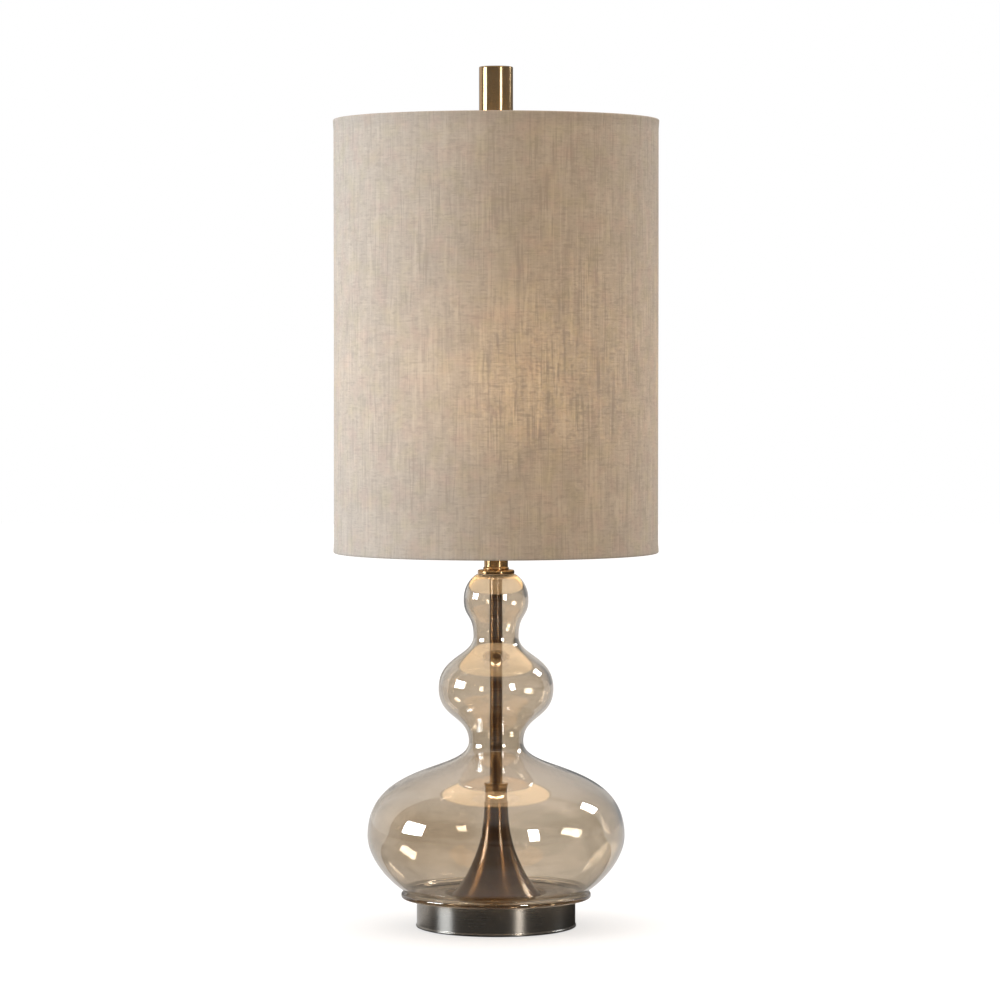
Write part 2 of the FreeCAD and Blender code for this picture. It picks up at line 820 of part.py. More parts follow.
# -------------------------------------------------------------------- neck above it
def build_neck():
    cap = radius(size.neck_cap_diameter)
    spigot = radius(size.glass_mouth_diameter) - size.slip_gap
    gasket_inner = radius(size.glass_mouth_diameter)
    gasket_outer = radius(size.glass_rim_diameter) - size.neck_gasket_inset
    tube("neck_gasket", gasket_inner, gasket_outer, glass_top, neck_cap_bottom)
    spigot_bottom = neck_cap_bottom - size.neck_spigot_depth
    neck_cap = turned(
        "neck_cap",
        [
            (rod_hole, spigot_bottom),
            (spigot, spigot_bottom),
            (spigot, neck_cap_bottom),
            (cap, neck_cap_bottom),
            (cap, neck_cap_top),
            (rod_hole, neck_cap_top),
        ],
    )
    dress(neck_cap, "Chamfer", [(cap, neck_cap_top)], size.neck_cap_edge)

    outer = radius(size.neck_tube_diameter)
    inner = outer - size.neck_tube_wall
    bead = outer + size.neck_bead_width
    bead_top = neck_cap_top + size.neck_bead_height
    neck_tube = turned(
        "neck_tube",
        [
            (inner, neck_cap_top),
            (bead, neck_cap_top),
            (bead, bead_top),
            (outer, bead_top),
            (outer, neck_tube_top),
            (inner, neck_tube_top),
        ],
    )
    rings = [(bead, neck_cap_top), (bead, bead_top)]
    dress(neck_tube, "Chamfer", rings, size.neck_bead_width / 2)
    plug = radius(size.neck_plug_diameter)
    plug_spigot = inner - size.fit_gap
    turned(
        "neck_plug",
        [
            (rod_hole, neck_tube_top - size.neck_plug_depth),
            (plug_spigot, neck_tube_top - size.neck_plug_depth),
            (plug_spigot, neck_tube_top),
            (plug, neck_tube_top),
            (plug, saddle_bottom),
            (rod_hole, saddle_bottom),
        ],
    )


# ----------------------------------------------------------------------------- harp
def build_harp():
    half_span = size.saddle_span / 2
    strap_end = half_span + size.saddle_overhang
    strap = box(
        "saddle_strap",
        (size.saddle_width, strap_end * 2, size.saddle_thickness),
        (-size.saddle_width / 2, -strap_end, saddle_bottom),
    )
    posts = [
        cylinder(name, size.harp_wire_diameter, size.post_height, (0, across, saddle_top))
        for name, across in (("saddle_post_front", -half_span), ("saddle_post_back", half_span))
    ]
    rod_way = cylinder(
        "saddle_bore", 2 * rod_hole, size.saddle_thickness, (0, 0, saddle_bottom)
    )
    cut("harp_saddle", fuse("saddle_blank", [strap, *posts]), rod_way)

    half_width = size.harp_width / 2
    flare_start = post_top + size.harp_leg_straight
    flare_end = flare_start + size.harp_flare_height
    wire_level = boss_bottom + size.boss_height / 2
    boss_radius = radius(size.boss_diameter)
    boss_blank = cylinder(
        "boss_blank", size.boss_diameter, size.boss_height, (0, 0, boss_bottom)
    )
    halves = []
    for name, side in (("harp_front", -1), ("harp_back", 1)):
        points = [
            (0, half_span * side, post_top),
            (0, half_span * side, flare_start),
            (0, half_width * side, flare_end),
            (0, half_width * side, wire_level),
            (0, boss_radius * side / 2, wire_level),
        ]
        bends = [size.harp_flare_bend, size.harp_flare_bend, size.harp_shoulder_bend]
        wire = bent_wire(f"{name}_wire", points, bends, size.harp_wire_diameter, "Z")
        halves.append(cut(f"{name}_half", wire, boss_blank))
    group("harp_wire", halves)

    ferrule_bore = size.harp_wire_diameter + 2 * size.fit_gap
    for name, across in (("ferrule_front", -half_span), ("ferrule_back", half_span)):
        sleeve = tube(
            name,
            radius(ferrule_bore),
            radius(size.ferrule_diameter),
            saddle_top,
            saddle_top + size.ferrule_length,
        )
        place(sleeve, (0, across, 0))

    swivel = radius(size.swivel_diameter)
    tube("harp_boss", swivel + size.fit_gap, boss_radius, boss_bottom, boss_top)
    head_top = boss_bottom - size.swivel_play
    head_bottom = head_top - size.swivel_head_thickness
    flange_bottom = shade_seat - size.stud_flange_thickness
    stud = turned(
        "swivel_stud",
        [
            (0, head_bottom),
            (radius(size.swivel_head_diameter), head_bottom),
            (radius(size.swivel_head_diameter), head_top),
            (swivel, head_top),
            (swivel, flange_bottom),
            (radius(size.stud_flange_diameter), flange_bottom),
            (radius(size.stud_flange_diameter), shade_seat),
            (radius(size.stud_diameter), shade_seat),
            (radius(size.stud_diameter), stud_top),
            (0, stud_top),
        ],
    )
    dress(stud, "Chamfer", [(radius(size.stud_diameter), stud_top)], size.stud_tip_chamfer)


# --------------------------------------------------------------------- lamp holder
def build_holder():
    wall = size.holder_cap_wall
    hub = radius(size.hub_diameter)
    rim = radius(size.holder_cap_diameter)
    hub_top = saddle_top + size.hub_height
    cap_top = saddle_top + size.holder_cap_height
    slope_top = hub_top + size.holder_cap_slope
    cap = turned(
        "holder_cap",
        [
            (rod_hole, saddle_top),
            (hub, saddle_top),
            (hub, hub_top),
            (rim, slope_top),
            (rim, cap_top),
            (rim - wall, cap_top),
            (rim - wall, slope_top + wall),
            (hub, holder_floor),
            (rod_hole, holder_floor),
        ],
    )
    screw_hole = size.set_screw_diameter + 2 * size.fit_gap
    screw_level = saddle_top + size.hub_height / 2
    pocket(cap, "set_screw_hole", "YZ_Plane", hole=(screw_level, screw_hole), depth=hub)
    cylinder(
        "set_screw",
        size.set_screw_diameter,
        size.set_screw_length,
        (-rod_hole, 0, screw_level),
        "-X",
    )

    shell_outer = rim - wall - size.fit_gap
    shell_inner = shell_outer - size.holder_shell_wall
    shell_bottom = cap_top - size.holder_shell_overlap
    shell_top = shell_bottom + size.holder_shell_height
    bead = shell_outer + size.holder_bead_width
    bead_bottom = shell_top - size.holder_bead_height
    shell = turned(
        "holder_shell",
        [
            (shell_inner, shell_bottom),
            (shell_outer, shell_bottom),
            (shell_outer, bead_bottom),
            (bead, bead_bottom + size.holder_bead_width),
            (bead, shell_top - size.holder_bead_width),
            (shell_outer, shell_top),
            (shell_inner, shell_top),
        ],
    )
    liner_outer = shell_inner - size.fit_gap
    liner_inner = liner_outer - size.liner_wall
    liner = tube("holder_liner", liner_inner, liner_outer, shell_bottom, shell_top)
    shaft_hole = (switch_level, size.switch_shaft_hole)
    for body, name in ((shell, "shell_shaft_hole"), (liner, "liner_shaft_hole")):
        pocket(body, name, "YZ_Plane", hole=shaft_hole, reverse=True)

    core_radius = radius(size.core_diameter)
    core = turned(
        "holder_core",
        [
            (0, holder_floor),
            (hub, holder_floor),
            (core_radius, slope_top + wall),
            (core_radius, core_top),
            (0, core_top),
        ],
    )
    for name, side in (("core_flat_front", -1), ("core_flat_back", 1)):
        flat = [
            (-core_radius, size.core_flat * side),
            (core_radius, size.core_flat * side),
            (core_radius, core_radius * side),
            (-core_radius, core_radius * side),
        ]
        pocket(core, name, "XY_Plane", corners=flat, reverse=True)
    half_way = radius(size.rod_bore)
    wire_way = [
        (-half_way, -core_radius),
        (half_way, -core_radius),
        (half_way, core_radius),
        (-half_way, core_radius),
    ]
    way_top = holder_floor + size.wire_way_height
    pocket(core, "wire_way", "XY_Plane", corners=wire_way, depth=way_top, reverse=True)
    shaft_bore = (switch_level, size.switch_shaft_diameter + 2 * size.fit_gap)
    pocket(core, "core_shaft_bore", "YZ_Plane", hole=shaft_bore, reverse=True)

    terminal_level = core_top - size.terminal_drop
    terminal_hole = (terminal_level, size.terminal_shank_diameter + 2 * size.fit_gap)
    screws = []
    for side, end in ((-1, "front"), (1, "back")):
        pocket(
            core,
            f"terminal_hole_{end}",
            "XZ_Plane",
            hole=terminal_hole,
            depth=size.terminal_shank_length + size.fit_gap,
            offset=-size.core_flat * side,
            reverse=side > 0,
        )
        screw = terminal_screw(f"terminal_{end}")
        screw.Placement = Placement(Vector(), Rotation(Vector(1, 0, 0), -90 * side))
        place(screw, (0, size.core_flat * side, terminal_level))
        screws.append(screw)
    group("terminal_screws", screws)

    screw_shell_inner = radius(size.bulb_base_diameter) + size.slip_gap
    screw_shell_outer = screw_shell_inner + size.screw_shell_wall
    screw_shell_top = core_top + size.screw_shell_height
    tube("screw_shell", screw_shell_inner, screw_shell_outer, core_top, screw_shell_top)
    tube("centre_contact", None, radius(size.contact_diameter), core_top, bulb_bottom)


def build_switch():
    shaft_end = size.knob_start + size.knob_hub_length / 2
    shaft_length = shaft_end - size.switch_shaft_start
    cylinder(
        "switch_shaft",
        size.switch_shaft_diameter,
        shaft_length,
        (size.switch_shaft_start, 0, switch_level),
        "X",
    )
    hub = cylinder(
        "knob_hub",
        size.knob_hub_diameter,
        size.knob_hub_length,
        (size.knob_start, 0, switch_level),
        "X",
    )
    paddle_start = size.knob_start + size.knob_hub_length / 2
    paddle = box(
        "knob_paddle",
        (size.knob_paddle_length, size.knob_paddle_width, size.knob_paddle_thickness),
        (
            paddle_start,
            -size.knob_paddle_width / 2,
            switch_level - size.knob_paddle_thickness / 2,
        ),
    )
    paddle_round = doc.addObject("Part::Fillet", "knob_paddle_round")
    paddle_round.Base = paddle
    doc.recompute()
    corner = value(size.knob_paddle_rounding)
    upright = [
        number
        for number, edge in enumerate(paddle.Shape.Edges, start=1)
        if abs(edge.tangentAt(edge.FirstParameter).z) > 0.9
    ]
    paddle_round.Edges = [(number, corner, corner) for number in upright]
    blank = fuse("knob_blank", [hub, paddle_round])
    way = cylinder(
        "knob_bore",
        size.switch_shaft_diameter + 2 * size.fit_gap,
        size.knob_hub_length / 2,
        (size.knob_start, 0, switch_level),
        "X",
    )
    cut("switch_knob", blank, way)


# ------------------------------------------------------------------------------ bulb
def build_bulb():
    insulator_bottom = bulb_bottom + size.bulb_tip_height
    tip = radius(size.bulb_tip_diameter)
    tube("bulb_tip", None, tip, bulb_bottom, insulator_bottom)
    turned(
        "bulb_insulator",
        [
            (0, insulator_bottom),
            (tip, insulator_bottom),
            (radius(size.bulb_insulator_diameter), bulb_base_bottom),
            (0, bulb_base_bottom),
        ],
    )
    crest = radius(size.bulb_base_diameter)
    root = crest - size.bulb_thread_depth
    turns = int(value(size.bulb_base_height / size.bulb_thread_pitch)) - 1
    inside = root - size.bulb_base_wall
    outline = [(inside, bulb_base_bottom), (root, bulb_base_bottom)]
    # One turn of the thread, as radii at shares of the pitch; half a pitch stays plain below it.
    thread = [(0.5, root), (0.75, crest), (1.0, crest), (1.25, root)]
    for turn in range(turns):
        for share, reach in thread:
            outline.append((reach, bulb_base_bottom + size.bulb_thread_pitch * (turn + share)))
    outline.append((root, bulb_glass_bottom))
    outline.append((inside, bulb_glass_bottom))
    turned("bulb_base", outline)

    neck = radius(size.bulb_neck_diameter)
    belly = radius(size.bulb_diameter)
    rise = size.bulb_lower_height
    belly_level = bulb_glass_bottom + rise
    neck_handle = (neck, bulb_glass_bottom + rise * size.bulb_neck_fullness)
    belly_handle = (belly, belly_level - rise * size.bulb_belly_fullness)
    crown = value(belly)
    level = value(belly_level)
    dome = Part.Arc(
        Vector(crown, 0, level),
        Vector(crown * math.cos(math.pi / 4), 0, level + crown * math.sin(math.pi / 4)),
        Vector(0, 0, level + crown),
    )
    profile = [
        straight((0, bulb_glass_bottom), (neck, bulb_glass_bottom)),
        curve((neck, bulb_glass_bottom), neck_handle, belly_handle, (belly, belly_level)),
        dome.toShape(),
    ]
    globe = blown(profile, size.bulb_glass_wall)
    post_hole = bore(
        size.bulb_post_diameter + 2 * size.fit_gap,
        bulb_glass_bottom,
        bulb_glass_bottom + size.bulb_glass_wall,
    )
    feature("bulb_globe", globe.cut(post_hole).Solids[0])
    post_top_level = bulb_glass_bottom + size.bulb_post_height
    post = radius(size.bulb_post_diameter) - size.fit_gap
    emitter = tube("bulb_emitter", None, post, bulb_base_bottom, post_top_level)
    dress(emitter, "Fillet", [(post, post_top_level)], size.bulb_post_rounding)


# ----------------------------------------------------------------------------- shade
def build_shade():
    rim = radius(size.shade_diameter)
    outer = rim - size.shade_rim_width
    fabric_inner = outer - size.fabric_thickness
    liner_inner = fabric_inner - size.liner_thickness
    ring_radius = radius(size.ring_wire_diameter)
    ring_centre = liner_inner - ring_radius - size.fit_gap
    lip_outer = ring_centre - ring_radius - size.fit_gap
    lip_inner = lip_outer - size.fabric_thickness
    edge = size.shade_rim_width

    def rim_corners(end, inward):
        """Fabric turned over one ring, from the outside in; inward is the way to the middle."""
        step = size.shade_rim_height * inward
        return [
            (outer, end + step),
            (rim, end + step - edge * inward),
            (rim, end + edge * inward),
            (outer, end),
            (lip_inner, end),
            (lip_inner, end + size.shade_lip_depth * inward),
            (lip_outer, end + size.shade_lip_depth * inward),
            (lip_outer, end + size.fabric_thickness * inward),
            (fabric_inner, end + size.fabric_thickness * inward),
        ]

    outline = rim_corners(shade_top, -1) + rim_corners(shade_bottom, 1)[::-1]
    turned("shade_fabric", outline)
    liner_bottom = shade_bottom + size.fabric_thickness
    liner_top = shade_top - size.fabric_thickness
    tube("shade_liner", liner_inner, fabric_inner, liner_bottom, liner_top)

    ring_inset = size.fabric_thickness + ring_radius + size.fit_gap
    top_level = shade_top - ring_inset
    for name, level in (("top_ring", top_level), ("bottom_ring", shade_bottom + ring_inset)):
        ring = doc.addObject("Part::Torus", name)
        bind(ring, "Radius1", ring_centre)
        bind(ring, "Radius2", ring_radius)
        place(ring, (0, 0, level))

    hub = radius(size.hub_ring_diameter)
    tube("spider_hub", radius(size.hub_ring_bore), hub, shade_seat, spider_top)
    arm_level = shade_seat + size.hub_ring_thickness / 2
    climb = top_level - arm_level
    arms = []
    for number in range(round(value(size.arm_count))):
        diagonal = ring_radius / math.sqrt(2)
        points = [
            (hub, 0, arm_level),
            (ring_centre - climb, 0, arm_level),
            (ring_centre - diagonal, 0, top_level - diagonal),
        ]
        wire = bent_wire(
            f"spider_arm_{number + 1}", points, [size.arm_bend], size.arm_wire_diameter, "X"
        )
        angle = 360.0 / value(size.arm_count) * number + 90
        wire.Placement = Placement(Vector(), Rotation(Vector(0, 0, 1), angle))
        arms.append(wire)
    group("spider_arms", arms)


# ---------------------------------------------------------------------------- finial
def build_finial():
    outer = radius(size.finial_diameter)
    inner = outer - size.finial_wall
    skirt_bottom = spider_top + size.finial_foot_height
    shell = turned(
        "finial_shell",
        [
            (inner, skirt_bottom),
            (outer, skirt_bottom),
            (outer, finial_top),
            (0, finial_top),
            (0, finial_top - size.finial_top_thickness),
            (inner, finial_top - size.finial_top_thickness),
        ],
    )
    rings = [(outer, finial_top), (outer, skirt_bottom)]
    dress(shell, "Chamfer", rings, size.finial_edge)
    foot = radius(size.finial_foot_diameter)
    thread = radius(size.stud_diameter) + size.fit_gap
    plug_outer = inner - size.fit_gap
    plug_top = skirt_bottom + size.finial_plug_thickness
    hub_top = spider_top + size.finial_bore_depth
    turned(
        "finial_plug",
        [
            (thread, spider_top),
            (foot, spider_top),
            (foot, skirt_bottom),
            (plug_outer, skirt_bottom),
            (plug_outer, plug_top),
            (foot, plug_top),
            (foot, hub_top),
            (thread, hub_top),
        ],
    )


for build in (
    build_foot,
    build_rod,
    build_glass,
    build_stem,
    build_neck,
    build_harp,
    build_holder,
    build_switch,
    build_bulb,
    build_shade,
    build_finial,
):
    build()
doc.recompute()

# ---------------------------------------------------------------------------- output
NODES = """
foot_shell cord_bushing base_weight bottom_board felt_pad
threaded_rod foot_washer foot_nut neck_nut
seat_gasket glass_body horn horn_collar centre_tube
neck_gasket neck_cap neck_tube neck_plug
harp_saddle harp_wire ferrule_front ferrule_back harp_boss swivel_stud
holder_cap set_screw holder_shell holder_liner holder_core
terminal_screws screw_shell centre_contact
switch_shaft switch_knob
bulb_tip bulb_insulator bulb_base bulb_globe bulb_emitter
shade_fabric shade_liner top_ring bottom_ring spider_hub spider_arms
finial_shell finial_plug
""".split()

for thing in doc.Objects:
    if {"Invalid", "Error"} & set(thing.State):
        raise RuntimeError(f"{thing.Label} did not compute: {thing.State}")
shapes = {}
for node in NODES:
    shape = doc.getObject(node).Shape
    if shape.isNull() or not shape.isValid() or not shape.Solids:
        raise RuntimeError(f"{node} is not a valid solid")
    shapes[node] = shape
os.makedirs("parts", exist_ok=True)
for node, shape in shapes.items():
    shape.exportStep(f"parts/{node}.step")
print(f"{len(shapes)} nodes, {value(finial_top):.1f} mm tall")
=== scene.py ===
"""Candlestick table lamp: its looks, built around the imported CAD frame.

Metres, +Z up, the front of the lamp towards -Y. Outlines are (radius, height) points in
millimetres, as the CAD source has them.
"""

import json
import math

import bmesh
import bpy
from mathutils import Matrix, Vector


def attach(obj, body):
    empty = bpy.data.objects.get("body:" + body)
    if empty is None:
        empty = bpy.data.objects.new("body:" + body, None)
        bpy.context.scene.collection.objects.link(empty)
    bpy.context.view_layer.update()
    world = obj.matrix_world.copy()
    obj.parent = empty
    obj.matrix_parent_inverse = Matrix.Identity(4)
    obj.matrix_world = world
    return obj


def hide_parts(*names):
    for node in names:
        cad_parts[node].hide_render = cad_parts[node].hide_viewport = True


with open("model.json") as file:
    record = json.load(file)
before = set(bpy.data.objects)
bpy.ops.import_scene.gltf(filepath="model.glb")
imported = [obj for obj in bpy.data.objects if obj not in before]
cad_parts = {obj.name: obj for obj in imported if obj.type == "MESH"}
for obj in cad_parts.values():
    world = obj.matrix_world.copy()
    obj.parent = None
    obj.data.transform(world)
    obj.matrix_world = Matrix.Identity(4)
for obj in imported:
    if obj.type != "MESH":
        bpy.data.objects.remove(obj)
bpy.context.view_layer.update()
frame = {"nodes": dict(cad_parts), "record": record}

MM = 0.001
ROUND = 160  # faces round a turned piece
nodes = frame["nodes"]


# ------------------------------------------------------------------------ materials
class Nodes:
    """Adds nodes to one shader tree."""

    def __init__(self, tree):
        self.tree = tree

    def feed(self, socket, value):
        if isinstance(value, bpy.types.NodeSocket):
            self.tree.links.new(value, socket)
        else:
            socket.default_value = value

    def set(self, node, inputs):
        for key, value in inputs.items():
            self.feed(node.inputs[key], value)

    def add(self, kind, inputs=None, **settings):
        node = self.tree.nodes.new("ShaderNode" + kind)
        for key, value in settings.items():
            setattr(node, key, value)
        self.set(node, inputs or {})
        return node

    def math(self, operation, *values):
        return self.add("Math", dict(enumerate(values)), operation=operation).outputs[0]

    def split(self, vector):
        return self.add("SeparateXYZ", {0: vector}).outputs

    def place(self):
        """Object coordinates in metres."""
        return self.add("TexCoord").outputs["Object"]

    def round_place(self):
        """Sockets for the angle about Z, broken at the back, the radius and the height."""
        x, y, z = self.split(self.place())
        angle = self.math("ARCTAN2", x, self.math("MULTIPLY", y, -1.0))
        squares = (self.math("MULTIPLY", x, x), self.math("MULTIPLY", y, y))
        return angle, self.math("SQRT", self.math("ADD", *squares)), z

    def vector(self, x, y, z):
        return self.add("CombineXYZ", {0: x, 1: y, 2: z}).outputs[0]

    def scaled(self, vector, scale):
        node = self.add("VectorMath", {0: vector, 1: scale}, operation="MULTIPLY")
        return node.outputs[0]

    def noise(self, vector, scale, detail=2.0, roughness=0.5, distortion=0.0):
        inputs = {
            "Vector": vector,
            "Scale": scale,
            "Detail": detail,
            "Roughness": roughness,
            "Distortion": distortion,
        }
        return self.add("TexNoise", inputs).outputs["Fac"]

    def spread(self, value, low, high, start=0.0, end=1.0):
        """Maps low..high to start..end and stops there."""
        inputs = {"Value": value, 1: low, 2: high, 3: start, 4: end}
        return self.add("MapRange", inputs).outputs[0]

    def near(self, value, middle, inner, outer, most=1.0):
        """most within inner of the middle, falling to 0 at outer."""
        away = self.math("ABSOLUTE", self.math("SUBTRACT", value, middle))
        return self.spread(away, inner, outer, most, 0.0)

    def mix(self, share, first, second, blend="MIX"):
        node = self.add("Mix", data_type="RGBA", blend_type=blend)
        for number, value in ((0, share), (6, first), (7, second)):
            if isinstance(value, tuple):
                value = (*value, 1.0)
            self.feed(node.inputs[number], value)
        return node.outputs[2]

    def bump(self, height, distance, normal=None):
        inputs = {"Height": height, "Distance": distance * MM, "Strength": 1.0}
        if normal is not None:
            inputs["Normal"] = normal
        return self.add("Bump", inputs).outputs[0]


class Paint(Nodes):
    """Builds one material round its principled shader."""

    def __init__(self, name, **sockets):
        self.material = bpy.data.materials.new(name)
        self.material.use_nodes = True
        super().__init__(self.material.node_tree)
        self.shader = self.tree.nodes["Principled BSDF"]
        self.output = self.tree.nodes["Material Output"]
        self.finish(**sockets)

    def finish(self, **sockets):
        self.set(self.shader, {key.replace("_", " "): value for key, value in sockets.items()})
        return self.material


def rgb(red, green, blue):
    return (red, green, blue, 1.0)


def lit_surface(paint, share, first, second):
    """Ends a material in two shaders mixed by share."""
    surface = paint.add("MixShader", {0: share, 1: first.outputs[0], 2: second.outputs[0]})
    paint.feed(paint.output.inputs["Surface"], surface.outputs[0])
    return paint.material


def brushed(
    name, light, dark, roughness, stretch=0.9, wear=0.25, lined=0.2, groove=0.003, lacquer=0.0
):
    """Metal brushed on a lathe: fine rings round the axis, with tarnish in soft patches.

    light and dark are the clean and tarnished colours. stretch draws highlights out across the
    rings, wear is how much the tarnish shows, lined how much the rings do, and groove their depth.
    """
    paint = Paint(name, Metallic=1.0, Anisotropic=stretch, Anisotropic_Rotation=0.25)
    paint.finish(Coat_Weight=lacquer, Coat_Roughness=0.08)
    _, radius, z = paint.round_place()
    along = paint.math("ADD", z, radius)
    x, y, _ = paint.split(paint.place())
    rings = paint.scaled(paint.vector(x, y, along), (18.0, 18.0, 2600.0))
    lines = paint.noise(rings, 1.0, 3.0, 0.65)
    patches = paint.noise(paint.place(), 46.0, 4.0, 0.6)
    tarnish = paint.spread(patches, 0.42, 0.72)
    tone = paint.mix(paint.math("MULTIPLY", tarnish, wear), light, dark)
    tone = paint.mix(paint.spread(lines, 0.35, 0.65, 0.0, lined), tone, dark)
    rough = paint.math("ADD", paint.spread(lines, 0.3, 0.7, -0.02, 0.02), roughness)
    rough = paint.math("ADD", rough, paint.math("MULTIPLY", tarnish, 0.04))
    normal = paint.bump(lines, groove)
    return paint.finish(Base_Color=tone, Roughness=rough, Normal=normal)


def bright_metal(name, colour, roughness, scale=300.0, spots=0.25):
    """Drawn or plated metal: fine grain, and a little dulling in patches."""
    paint = Paint(name, Metallic=1.0)
    place = paint.place()
    grain = paint.noise(place, scale * 8, 3.0, 0.6)
    patches = paint.spread(paint.noise(place, scale / 6, 4.0), 0.45, 0.75)
    dull = tuple(c * 0.55 for c in colour)
    tone = paint.mix(paint.math("MULTIPLY", patches, spots), colour, dull)
    rough = paint.math("ADD", paint.spread(grain, 0.3, 0.7, -0.04, 0.06), roughness)
    rough = paint.math("ADD", rough, paint.math("MULTIPLY", patches, 0.12))
    normal = paint.bump(grain, 0.006)
    return paint.finish(Base_Color=tone, Roughness=rough, Normal=normal)


def moulded(name, colour, roughness, texture=0.02, scale=1400.0):
    """Moulded plastic or rubber with a fine skin and faint dust."""
    paint = Paint(name)
    place = paint.place()
    skin = paint.noise(place, scale, 2.0)
    dust = paint.spread(paint.noise(place, 90.0, 3.0), 0.5, 0.8, 0.0, 0.35)
    pale = tuple(min(1.0, c * 1.5 + 0.03) for c in colour)
    tone = paint.mix(dust, colour, pale)
    rough = paint.math("ADD", paint.math("MULTIPLY", dust, 0.2), roughness)
    normal = paint.bump(skin, texture)
    return paint.finish(Base_Color=tone, Roughness=rough, Normal=normal)


SHOULDER, LOW_NECK, BELLY = 0.143, 0.177, 0.086  # heights on the glass, in metres
BELLY_SHADE_X = -0.055  # where the painted shade on the left of the belly is centred


def smoked_glass():
    """Blown glass with an amber-grey lustre on its faces, and faint waves; painted light makes its
    shoulder lighter, and painted shade makes its low neck and the left of its belly darker.
    """
    paint = Paint("smoked_glass", Roughness=0.0, IOR=1.75, Transmission_Weight=1.0)
    place = paint.place()
    waves = paint.noise(paint.scaled(place, (1.0, 1.0, 1.7)), 26.0, 1.0, 0.4)
    cloud = paint.noise(paint.scaled(place, (1.0, 1.0, 2.2)), 16.0, 2.0, 0.5, 0.6)
    tone = paint.mix(paint.spread(cloud, 0.38, 0.62), (0.665, 0.61, 0.53), (0.785, 0.72, 0.635))
    x, _, height = paint.split(place)
    # Painted light: the shoulder band is lighter. Painted shade: the low neck band is darker.
    shoulder_light = paint.near(height, SHOULDER, 0.008, 0.026, 0.7)
    tone = paint.mix(shoulder_light, tone, (0.79, 0.74, 0.68))
    neck = paint.near(height, LOW_NECK, 0.006, 0.020, 0.6)
    tone = paint.mix(neck, tone, (0.54, 0.49, 0.41))
    # Painted shade: the left side of the belly is darker.
    belly = paint.near(height, BELLY, 0.012, 0.034, 0.6)
    belly_shade = paint.math("MULTIPLY", belly, paint.near(x, BELLY_SHADE_X, 0.025, 0.050))
    tone = paint.mix(belly_shade, tone, (0.57, 0.49, 0.39))
    paint.finish(Base_Color=tone, Normal=paint.bump(waves, 0.16))
    amber = paint.add("VolumeAbsorption", {"Color": rgb(0.75, 0.58, 0.35), "Density": 22.0})
    paint.feed(paint.output.inputs["Volume"], amber.outputs[0])
    clear = paint.add("BsdfTransparent", {"Color": rgb(0.94, 0.93, 0.92)})
    path = paint.add("LightPath").outputs
    lamps = paint.math("MAXIMUM", path["Is Shadow Ray"], path["Is Diffuse Ray"])
    return lit_surface(paint, lamps, paint.shader, clear)


WALL_R = 151.9  # outer face of the shade's fabric
LINEN_PALE = (0.68, 0.662, 0.625)
LINEN_DARK = (0.555, 0.492, 0.42)
LINEN_ROSE, LINEN_STRAW = (0.67, 0.54, 0.50), (0.60, 0.575, 0.44)  # tints in soft patches
GLOW_PALE, GLOW_DARK = (1.0, 0.81, 0.55), (0.06, 0.03, 0.01)  # light let through by threads
LINEN_GLOW, STRAIGHT_ON = 0.115, 0.24  # share of light let through, and of it not scattered
WARP_PITCH, WEFT_PITCH = 0.62, 0.70


